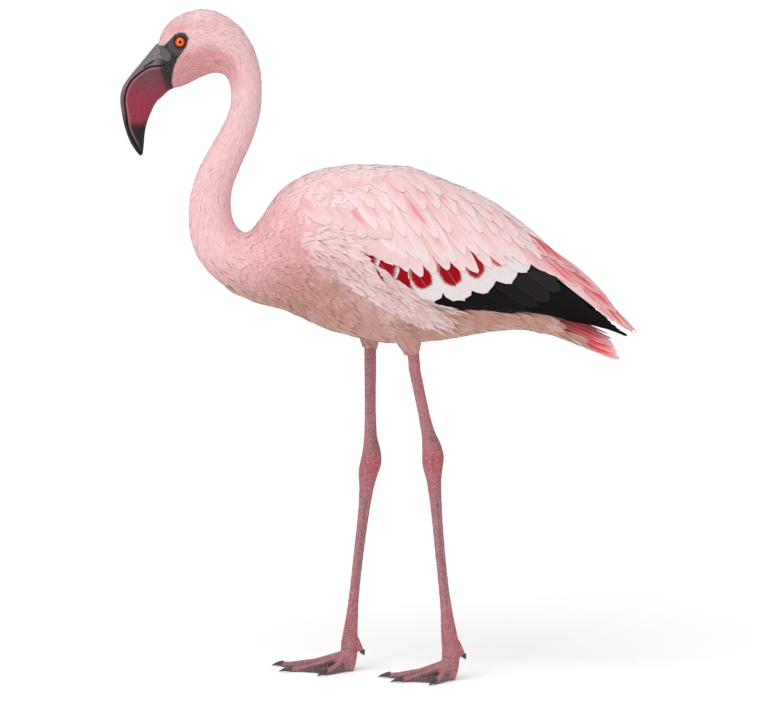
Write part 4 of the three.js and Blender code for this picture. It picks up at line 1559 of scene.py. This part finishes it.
def rowOf(side, row, seed):
    # Feathers whose tips lie along a line: each leans at its own angle below the horizon.
    rng = np.random.default_rng(seed + (0 if side == "left" else 500))
    row = {**rowHabits, **row}
    look = {**vaneLook, **row["look"]}
    if "count" in row:
        line = evenLine(np.array(row["tips"], float), 1.0)
        count = row["count"]
        steps = np.linspace(0, len(line) - 1, count)
        spots = np.stack([np.interp(steps, np.arange(len(line)), line[:, k]) for k in (0, 1)], axis=1)
    else:
        spots = np.array(row["tips"], float)
        count = len(spots)
    at = np.linspace(0, 1, count)

    def ranged(name):
        return np.interp(at, np.linspace(0, 1, len(row[name])), row[name])

    angles = np.radians(ranged("angles") + rng.normal(0, row["sway"], count))
    lengths = ranged("lengths") * rng.uniform(0.94, 1.06, count)
    values = ranged("values")
    spots = spots + rng.normal(0, row["stray"], (count, 2))
    made = []
    for spot, angle, length, value in zip(spots, angles, lengths, values):
        root = atSide(side, spot[0] - length * math.cos(angle), spot[1] + length * math.sin(angle))
        tip = atSide(side, *spot)
        own = dict(look, bow=look["bow"] * sides[side], tilt=look["tilt"] * sides[side])
        own["width"] = look["width"] * rng.uniform(0.92, 1.08)
        grid, normals, share = vaneGrid(outerTree, root, tip, own, rng)
        along, column = vaneFrame(share, sides[side])
        tint = row["tint"](along, column, rng, value)
        made.append({"grid": grid, "normals": normals, "share": share, "tint": tint,
                     "half": own["width"] / 2 * mm, "length": (tip - root).length})
        if "patch" in row:
            made[-1]["patch"] = row["patch"](along, column, rng, value)
            made[-1]["fade"] = max(value, 0)
    return made


# The wing's rows from the deepest to the topmost. Tips are [y, z] and lengths are in millimetres, and
# angles are degrees below the horizon. Without a count each tip has one feather.
contour = {"tilt": 0.35, "taper": 0.35, "fringe": 0.05}
wingRows = {
    "primaries": {
        "count": 9,
        "tips": [(320, 437), (311, 441), (300, 447), (284, 457), (260, 474)],
        "angles": [14, 16, 21, 26], "lengths": [206, 188, 150, 120],
        "tint": darkTint, "values": [0.0, 0.2],
        "look": {"width": 15, "round": 0.9, "lift": (-3.2, -1.6), "bow": -8, "tilt": -0.4, "rings": 14,
                 "camber": 0.3},
    },
    "secondaries": {
        "count": 10,
        "tips": [(82, 479), (112, 475), (142, 472), (172, 471), (196, 475), (212, 483), (226, 496)],
        "angles": [18, 24, 32, 40], "lengths": [60, 80],
        "tint": darkTint, "values": [0.0, 0.1, 0.15, 0.95],
        "look": {"width": 21, "round": 1.0, "lift": (-3.0, -0.9), "tilt": 0.4, "rings": 14},
    },
    "coverts": {
        "tips": [(-7, 521), (17, 507), (38, 490), (72, 483), (107, 486), (138, 497), (167, 509),
                 (186, 520)],
        "angles": [54, 58, 57, 52], "lengths": [84, 88], "stray": 0.6, "sway": 0.8,
        "tint": covertTint, "patch": redPatch, "values": [-1.8, -1.8, -1.6, 0, 0, 0.05, 0.7, 0.9],
        "look": {"width": 40, "round": 0.8, "lift": (-2.4, 0.0), "tilt": 0.45, "taper": 0.0,
                 "fringe": 0.045},
    },
    "medians": {
        "tips": [(-32, 552), (-9, 546), (17, 531), (36, 522), (54, 516), (71, 521), (88, 524), (106, 521),
                 (123, 519), (141, 526), (158, 531), (176, 541)],
        "angles": [48, 54, 58, 56, 50], "lengths": [70, 76], "stray": 1.0,
        "tint": paleTint, "values": [0.3, 0.35],
        "look": {"width": 26, "round": 1.5, "lift": (-1.6, 0.35), **contour},
    },
    "tertialsLow": {
        "count": 13,
        "tips": [(200, 524), (214, 517), (230, 511), (244, 504), (257, 495), (270, 485), (282, 475),
                 (294, 463), (305, 452), (316, 443), (328, 438), (338, 438)],
        "angles": [42, 40, 40, 43, 46], "lengths": [110, 140, 160, 165], "stray": 1.0,
        "tint": fringeTint, "values": [0.2, 0.6, 1.3, 1.4, 0.7],
        "look": {"width": 19, "round": 2.2, "lift": (-1.8, 0.3), "tilt": -0.35, "taper": 0.5,
                 "fringe": 0.05, "bow": 4, "rings": 14},
    },
    "tertials": {
        "count": 9,
        "tips": [(214, 539), (229, 531), (244, 522), (258, 512), (270, 503), (281, 494), (291, 482),
                 (302, 467)],
        "angles": [42, 41, 39, 38, 37], "lengths": [100, 120, 130, 140], "stray": 1.2,
        "tint": tertialTint, "values": [1.4, 1.9, 1.9, 1.1],
        "look": {"width": 25, "round": 1.7, "lift": (-1.6, 0.9), "tilt": -0.35, "taper": 0.4,
                 "fringe": 0.05, "bow": 5, "rings": 14},
    },
    "scapularsLow": {
        "count": 12,
        "tips": [(20, 542), (44, 534), (66, 531), (90, 533), (114, 541), (136, 539), (158, 536),
                 (186, 530)],
        "angles": [56, 57, 56, 52, 46], "lengths": [96, 108, 112],
        "tint": paleTint, "values": [0.5, 0.75, 0.6],
        "look": {"width": 28, "round": 2.0, "lift": (-1.3, 0.55), **contour},
    },
    "scapularsMiddle": {
        "count": 12,
        "tips": [(-2, 570), (26, 563), (54, 560), (82, 562), (110, 567), (138, 562), (166, 552),
                 (200, 534)],
        "angles": [54, 56, 54, 50, 44], "lengths": [90, 100, 105],
        "tint": paleTint, "values": [0.9, 1.1, 1.0],
        "look": {"width": 27, "round": 2.0, "lift": (-1.2, 0.7), **contour},
    },
    "scapularsHigh": {
        "count": 13,
        "tips": [(-26, 596), (2, 593), (30, 592), (60, 592), (90, 594), (120, 588), (150, 576),
                 (180, 560), (212, 540)],
        "angles": [50, 52, 50, 46, 42], "lengths": [72, 84, 92],
        "tint": paleTint, "values": [0.6, 0.9, 1.0],
        "look": {"width": 26, "round": 1.9, "lift": (-1.1, 0.8), **contour},
    },
    "scapularsTop": {
        "count": 13,
        "tips": [(-34, 618), (-4, 619), (28, 619), (60, 617), (92, 612), (122, 603), (152, 590),
                 (182, 573), (218, 548)],
        "angles": [28, 38, 42, 40, 39], "lengths": [42, 62, 72],
        "tint": paleTint, "values": [0.4, 0.6, 0.9],
        "look": {"width": 24, "round": 1.8, "lift": (-1.0, 0.95), **contour, "tilt": 0.3},
    },
    "shoulderLow": {
        "count": 5,
        "tips": [(-38, 557), (-12, 546), (10, 540), (34, 531)],
        "angles": [48, 50, 46], "lengths": [58, 62],
        "tint": shoulderTint, "values": [0.1, 0.2],
        "look": {"width": 27, "round": 1.15, "lift": (-0.9, 0.8), "tilt": 0.35, "fringe": 0.06},
    },
    "shoulderHigh": {
        "count": 6,
        "tips": [(-58, 580), (-34, 574), (-10, 567), (16, 562)],
        "angles": [42, 48, 50], "lengths": [44, 54],
        "tint": shoulderTint, "values": [0.4, 0.9],
        "look": {"width": 25, "round": 1.2, "lift": (-0.8, 1.1), "tilt": 0.35, "fringe": 0.06},
    },
}
paleVane = vanePaint("palePinkVane")
darkVane = vanePaint("blackVane", roughness=0.6, contrast=0.06, sheen=0.0, specular=0.1, shaftPart=0.0,
                     shaftRise=0.1)
patchedVane = vanePaint("redPatchedVane", sheen=0.03, specular=0.12, patched=True)
# Each piece of a wing: its rows, its slot and its material.
wingPieces = {
    "flight_feathers": (("primaries", "secondaries"), "flight_feathers", darkVane),
    "coverts": (("coverts", "medians", "shoulderLow", "shoulderHigh"), "plumage", patchedVane),
    "tertials": (("tertialsLow", "tertials"), "plumage", paleVane),
    "scapulars": (("scapularsLow", "scapularsMiddle", "scapularsHigh", "scapularsTop"), "plumage",
                  paleVane),
}


def makeWing(side):
    for piece, (names, slot, paint) in wingPieces.items():
        feathers = []
        for name in names:
            feathers += rowOf(side, wingRows[name], 100 + list(wingRows).index(name))
        vaneMesh(f"{piece}_{side}", feathers, paint)


for side in sides:
    makeWing(side)


# What a coat of locks has where its own settings don't say otherwise. Those give its length and width in
# millimetres too, the fan in degrees, and the lift, the height of root and tip over what carries it.
lockLook = {
    "blades": 6,
    "rings": 5,
    "thick": 0.2,
    "jitter": 0.12,
    "trims": 0,
    "roundness": 0.2,
    "droop": 0,
    "rise": 0.8,
    "camber": 0.6,
    "blunt": 0.8,
    "cover": 1.15,
    "spread": 0.05,
    "pale": 0.45,
    "deep": 0.2,
    "streak": 0,
    "share": lambda points: np.ones(len(points)),
}


def lockCoat(title, changes, roots, tintAt=plumageTint, waysAt=flowAt, tree=skinTree):
    # Contour feathers: each is a few narrow blades fanned from one root, so its tip is ragged.
    look = {**lockLook, **changes}
    rng = np.random.default_rng(look["seed"])
    count, blades, rings = len(roots), look["blades"], look["rings"]
    part = look["share"](roots)

    def sized(name):
        # Each lock's size: one number for all, or two that the share runs between.
        low, high = np.broadcast_to(look[name], 2)
        return (low + (high - low) * part) * mm

    ways = waysAt(roots, rng, look["jitter"])
    _, normals = marchOver(tree, roots, ways, np.full(count, 1 * mm), 2)
    across = unit(np.cross(ways, normals[:, 0]))
    lengths = sized("length") * rng.uniform(0.8, 1.15, count)
    # Locks whose tips would lie on the wing are shortened.
    for _ in range(look["trims"]):
        ends = roots + ways * lengths[:, None]
        onWing = inside(ends[:, 1:], wingOutline) & (np.abs(ends[:, 0]) > 28 * mm)
        lengths = np.where(onWing, lengths * 0.8, lengths)
    widths = sized("width")
    offsets = np.linspace(-1, 1, blades)
    fan = math.radians(look["fan"])
    bladeRoots = roots[:, None] + across[:, None] * (offsets[None, :, None] * widths[:, None, None] * 0.27)
    turn = offsets[None] * fan + rng.normal(0, 0.05, (count, blades))
    bladeWays = unit(ways[:, None] * np.cos(turn)[..., None] + across[:, None] * np.sin(turn)[..., None])
    bladeLengths = lengths[:, None] * (1 - look["roundness"] * offsets[None] ** 2)
    bladeLengths = bladeLengths * rng.uniform(0.86, 1.08, (count, blades))
    flat = count * blades
    places, faces = marchOver(tree, bladeRoots.reshape(flat, 3), bladeWays.reshape(flat, 3),
                              bladeLengths.reshape(flat), rings, look["droop"])
    share = np.linspace(0, 1, rings)[None]
    low, high = look["lift"]
    grow = np.repeat(sized("length") / np.max(look["length"]) / mm, blades)[:, None] ** 0.6
    own = np.repeat(rng.uniform(0.72, 1.04, count), blades)[:, None] * rng.uniform(0.9, 1.05, (flat, 1))
    camber = np.tile(1 - offsets ** 2, count)[:, None] * look["camber"] * share
    rise = share ** look["rise"] * own
    lift = (low * (1 - rise) + (high * rise + camber) * grow) * mm
    spine = places + faces * lift[:, :, None]
    profile = np.interp(share[0], [0, 0.25, 0.6, 0.8, 1], [0.7, 1.0, 1.0, look["blunt"], 0])
    half = np.repeat(widths, blades)[:, None] / blades * look["cover"] * profile[None]
    half = half * rng.uniform(0.8, 1.2, (flat, 1))
    thick = look["thick"] * mm * (0.25 + 0.75 * profile[None]) * np.ones((flat, 1))
    lockTint = varied(tintAt(roots), rng, look["spread"], look["pale"], look["deep"])
    bladeTint = np.repeat(lockTint, blades, axis=0) * rng.uniform(0.96, 1.03, (flat, 1))
    if look["streak"]:
        heart = np.tile(bell(offsets, 0, 0.45), count) * np.repeat(rng.random(count) ** 2, blades)
        bladeTint = blend(bladeTint, plumage["coral"], look["streak"] * heart)
    strips(title, spine, faces, half, thick, stripTint(bladeTint, rings), np.repeat(roots, blades, axis=0))


# The folded wing's outline from the side, as [y, z]; its own feathers hide the skin there.
wingOutline = np.array([
    (-58, 596), (-48, 562), (-22, 532), (4, 508), (30, 487), (58, 475), (83, 474), (123, 471), (163, 470),
    (204, 465), (235, 456), (257, 450), (294, 440), (330, 436), (290, 492), (224, 540), (163, 582),
    (110, 606), (60, 614), (0, 612), (-40, 606),
]) * mm


def bodyRootsAt(points):
    # All of the trunk that the wings and the thighs' tufts leave bare, from an uneven border at the neck.
    reach = alongBody(points)[0]
    hidden = inside(points[:, 1:], wingOutline) & ((np.abs(points[:, 0]) > 34 * mm) | (points[:, 1] > 0.14))
    nearLeg = np.zeros(len(points), bool)
    for side in sides:
        nearLeg |= (hipGap(points, side) < 20 * mm) & (points[:, 2] < 0.436)
    uneven = 0.014 * np.sin(points @ np.array([700.0, 900.0, 1300.0]))
    return (reach > 0.4 + uneven) & (points[:, 2] > 0.425) & ~hidden & ~nearLeg & (points[:, 1] < 0.2)


def bodyShare(points):
    # 0 where the neck joins, 1 over the trunk.
    return smoothStep(0.40, 0.56, alongBody(points)[0])


bodyCoat = {
    "spacing": (4.4, 9.0), "length": (20, 48), "width": (7, 18), "lift": (-3.2, 0.3), "fan": 10,
    "cover": 1.7, "camber": 0.2, "droop": 0.25, "trims": 5, "share": bodyShare, "seed": 31,
    "streak": 0.1, "pale": 0.16, "deep": 0.14,
}
backCoat = dict(bodyCoat, lift=(-2.2, 0.1), thick=0.12, streak=0.2, pale=0.45, deep=0.2)


def bodySpacing(points):
    low, high = bodyCoat["spacing"]
    return (low + (high - low) * bodyShare(points)) * mm


bodyRoots = scatter(skin, bodySpacing, bodyRootsAt, bodyCoat["seed"])
upper = bodyRoots[:, 2] > np.interp(bodyRoots[:, 1], [-0.16, -0.06, 0.1, 0.3], [0.56, 0.585, 0.54, 0.44])
breast = ~upper & (bodyRoots[:, 1] < -0.02)
lockCoat("coat_back", backCoat, bodyRoots[upper], tree=outerTree)
lockCoat("coat_breast", dict(bodyCoat, seed=32), bodyRoots[breast], tree=outerTree)
lockCoat("coat_belly", dict(bodyCoat, seed=33), bodyRoots[~upper & ~breast], tree=outerTree)

# Loose plumes that sweep back and up over the wing's front lower edge, then curl down.
plumeCoat = {
    "spacing": 7, "length": 56, "width": 17, "lift": (-4.0, 3.2), "blades": 7, "rings": 6, "fan": 13,
    "seed": 41, "streak": 0.2, "pale": 0.7, "droop": 0.9, "cover": 1.25, "roundness": 0.3,
}
plumeBand = np.array([
    (-92, 574), (-56, 546), (-24, 522), (4, 501), (32, 485), (60, 476), (56, 462), (26, 465), (-4, 479),
    (-34, 497), (-68, 520), (-108, 552),
]) * mm


def plumeTint(points):
    return blend(plumageTint(points), plumage["cream"], 0.42)


def plumeWays(points, rng, jitter):
    rise = np.interp(points[:, 1], [-0.09, -0.03, 0.05], [0.5, 0.38, 0.05])
    way = np.stack([np.zeros(len(points)), np.ones(len(points)), rise], axis=1)
    return unit(way + rng.normal(0, jitter, way.shape))


plumeRoots = scatter(outerForm, evenly(plumeCoat["spacing"] * mm),
                     lambda points: inside(points[:, 1:], plumeBand) & (np.abs(points[:, 0]) > 30 * mm),
                     plumeCoat["seed"])
lockCoat("coat_flank", plumeCoat, plumeRoots, plumeTint, plumeWays, outerTree)

# Soft feathers that cover the roots of the wing's front and top rows.
shoulderCoat = {
    "spacing": 8, "length": 38, "width": 14, "lift": (-3.4, 0.5), "fan": 9, "cover": 1.7, "camber": 0.2,
    "reach": 12, "seed": 42, "streak": 0.25, "pale": 0.7, "droop": 0.3,
}
shoulderLine = np.array([
    (-84, 552), (-98, 576), (-100, 600), (-84, 620), (-48, 634), (0, 646), (50, 646), (90, 637), (130, 620),
    (165, 600), (196, 576),
]) * mm
shoulderRoots = scatter(outerForm, evenly(shoulderCoat["spacing"] * mm),
                        lambda points: toLine(points[:, 1:], shoulderLine)[0] < shoulderCoat["reach"] * mm,
                        shoulderCoat["seed"])
lockCoat("coat_shoulder", shoulderCoat, shoulderRoots, tree=outerTree)

# Short tufts that end the coat over each shin.
thighCoat = {
    "spacing": 3.6, "length": 12, "width": 7, "lift": (-0.3, 1.5), "blades": 5, "fan": 9,
    "seed": 51, "pale": 0.25, "droop": 1.0, "cover": 1.3,
}


def thighRootsAt(points):
    # A band round the top of each shin.
    near = np.minimum(hipGap(points, "left"), hipGap(points, "right")) < 24 * mm
    return near & (points[:, 2] > 0.429) & (points[:, 2] < 0.446)


def downward(points, rng, jitter):
    way = np.tile([0.0, 0.15, -1.0], (len(points), 1))
    return unit(way + rng.normal(0, jitter, way.shape))


thighRoots = scatter(skin, evenly(thighCoat["spacing"] * mm), thighRootsAt, thighCoat["seed"])
lockCoat("coat_thighs", thighCoat, thighRoots, waysAt=downward)

# Coverts over and under the tail's root.
tailCoat = {
    "spacing": 8, "length": (42, 50), "width": (13, 15), "lift": (-2.6, 0.8), "rings": 6, "fan": 7,
    "seed": 52, "streak": 0.1, "pale": 0.4, "cover": 1.4, "camber": 0.3,
    "share": lambda points: smoothStep(0.15, 0.2, points[:, 1]),
}


def tailRootsAt(points):
    # Below and beside the tail's root, up to a slanting line that leaves the long feathers free.
    y, z = points[:, 1], points[:, 2]
    return (z < 0.47) & (y > 0.165) & (y < np.interp(z, [0.436, 0.466], [0.232, 0.194]))


def tailCoatTint(points):
    # The undertail coverts' buff, partly their own colour and partly painted shade under the tail.
    return blend(plumageTint(points), plumage["shadedSand"], 0.55)


def tailWays(points, rng, jitter):
    way = np.tile([0.0, 0.88, -0.42], (len(points), 1))
    return unit(way + rng.normal(0, 0.7 * jitter, way.shape))


tailRoots = scatter(trunkForm, evenly(tailCoat["spacing"] * mm), tailRootsAt, tailCoat["seed"])
lockCoat("coat_tail", tailCoat, tailRoots, tailCoatTint, tailWays, trunkTree)

# The tail's middle and outer feathers: root and tip as [y, z], and how far each leans to its side.
tailShape = {
    "middle": [(186, 484), (294, 442)],
    "outer": [(190, 475), (307, 410)],
    "count": 12, "roll": 60, "rootHalf": 14, "tipHalf": 22, "width": 22, "camber": 1.2, "round": 1.7,
    "fringe": 0.05, "depth": 1.9,
}


def makeTail():
    # A closed fan of long feathers, arched like a roof, the middle pair on top.
    rng = np.random.default_rng(61)
    share = np.linspace(0, 1, 14)
    made = []
    half = tailShape["width"] / 2 * mm
    middle, outer = (np.array(tailShape[name]) * mm for name in ("middle", "outer"))
    for index in range(tailShape["count"]):
        rank = (index // 2 + 0.5) / (tailShape["count"] / 2)
        sign = 1 if index % 2 else -1
        roll = math.radians(tailShape["roll"] * rank)
        start, end = middle + (outer - middle) * rank ** 1.3 + rng.normal(0, 1.2 * mm, (2, 2))
        start = np.array([sign * rank * tailShape["rootHalf"] * mm, *start])
        end = np.array([sign * rank * tailShape["tipHalf"] * mm, *end])
        run = unit(end - start)
        length = np.linalg.norm(end - start)
        out = unit(np.cross(np.cross(run, [sign * math.sin(roll), 0, math.cos(roll)]), run))
        side = unit(np.cross(run, out))
        ends = raggedEnds(tailShape["round"], tailShape["fringe"], half, length, rng)
        at = share[:, None] * ends[None]
        width = half * smoothStep(-0.3, 0.3, share) * (1 - 0.3 * smoothStep(0.6, 1, share))
        grid = start + run * (at * length)[..., None] + side * (width[:, None] * vaneColumns)[..., None]
        lift = tailShape["camber"] * mm * (1 - vaneColumns ** 2)[None] - 3 * mm * at ** 2 - rank * 1.5 * mm
        grid = grid + out * lift[..., None]
        along, column = vaneFrame(share, -sign)
        # The inner feathers are painted up to about one and a half times brighter: painted light that lifts
        # the wing's shade off them.
        tint = tertialTint(along, column, rng, tailShape["depth"]) * (1 + 0.6 * (1 - rank))
        normals = np.tile(out, (*grid.shape[:2], 1))
        made.append({"grid": grid, "normals": normals, "share": share, "tint": tint, "half": half,
                     "length": length})
    vaneMesh("tail_feathers", made, paleVane)


makeTail()

# Broad feathers that lie over the gap between the folded wings, arched to both sides.
ridgeShape = {
    "line": [(180, 584), (203, 566), (224, 547), (254, 525), (284, 496), (307, 465), (321, 450)],
    "below": 2.2, "length": 92, "half": 15, "arch": 7, "count": 7, "round": 1.6, "fringe": 0.05,
    "depth": 0.9,
}


def makeRidge():
    rng = np.random.default_rng(71)
    line = evenLine(np.array(ridgeShape["line"], float), 1.0) * mm
    slope = np.gradient(line, axis=0)
    out = unit(np.stack([-slope[:, 1], slope[:, 0]], axis=1))
    share = np.linspace(0, 1, 14)
    half = ridgeShape["half"] * mm
    made = []
    for tip in np.linspace(0.62, 1.0, ridgeShape["count"]):
        last = tip * (len(line) - 1)
        first = max(last - ridgeShape["length"], 0)
        length = (last - first) * mm
        ends = raggedEnds(ridgeShape["round"], ridgeShape["fringe"], half, length, rng)
        at = first + (last - first) * share[:, None] * ends[None]
        y, z = (np.interp(at, np.arange(len(line)), line[:, k]) for k in (0, 1))
        outY, outZ = (np.interp(at, np.arange(len(line)), out[:, k]) for k in (0, 1))
        width = half * smoothStep(-0.3, 0.3, share) * (1 - 0.35 * smoothStep(0.5, 1, share))
        x = width[:, None] * vaneColumns[None] + rng.normal(0, 1.5 * mm)
        narrowing = 1 + 1.6 * smoothStep(0.7, 1.0, at / len(line))
        drop = (ridgeShape["below"] - 0.5 * share[:, None]) * mm
        drop = drop + ridgeShape["arch"] * mm * (x / half) ** 2 * narrowing
        grid = np.stack([x, y - outY * drop, z - outZ * drop], axis=-1)
        turn = 0.9 * x / half
        normals = np.stack([np.sin(turn), outY * np.cos(turn), outZ * np.cos(turn)], axis=-1)
        along, column = vaneFrame(share)
        tint = tertialTint(along, column * rng.choice([-1, 1]), rng, ridgeShape["depth"])
        made.append({"grid": grid, "normals": normals, "share": share, "tint": tint, "half": half,
                     "length": length})
    vaneMesh("rump_feathers", made, paleVane)


makeRidge()
for form in (outerForm, trunkForm):
    bpy.data.objects.remove(form)
print("coat is laid")

for node in ("head", "neck_upper", "neck_middle", "neck_lower", "trunk", "tail"):
    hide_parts(node)
for side in sides:
    for node in ("wing", "flight", "thigh", "shank", "ankle", "tarsus", "foot", "hallux"):
        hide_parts(f"{node}_{side}")
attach(skin, "root")
pick(skin)
bpy.ops.object.shade_smooth()
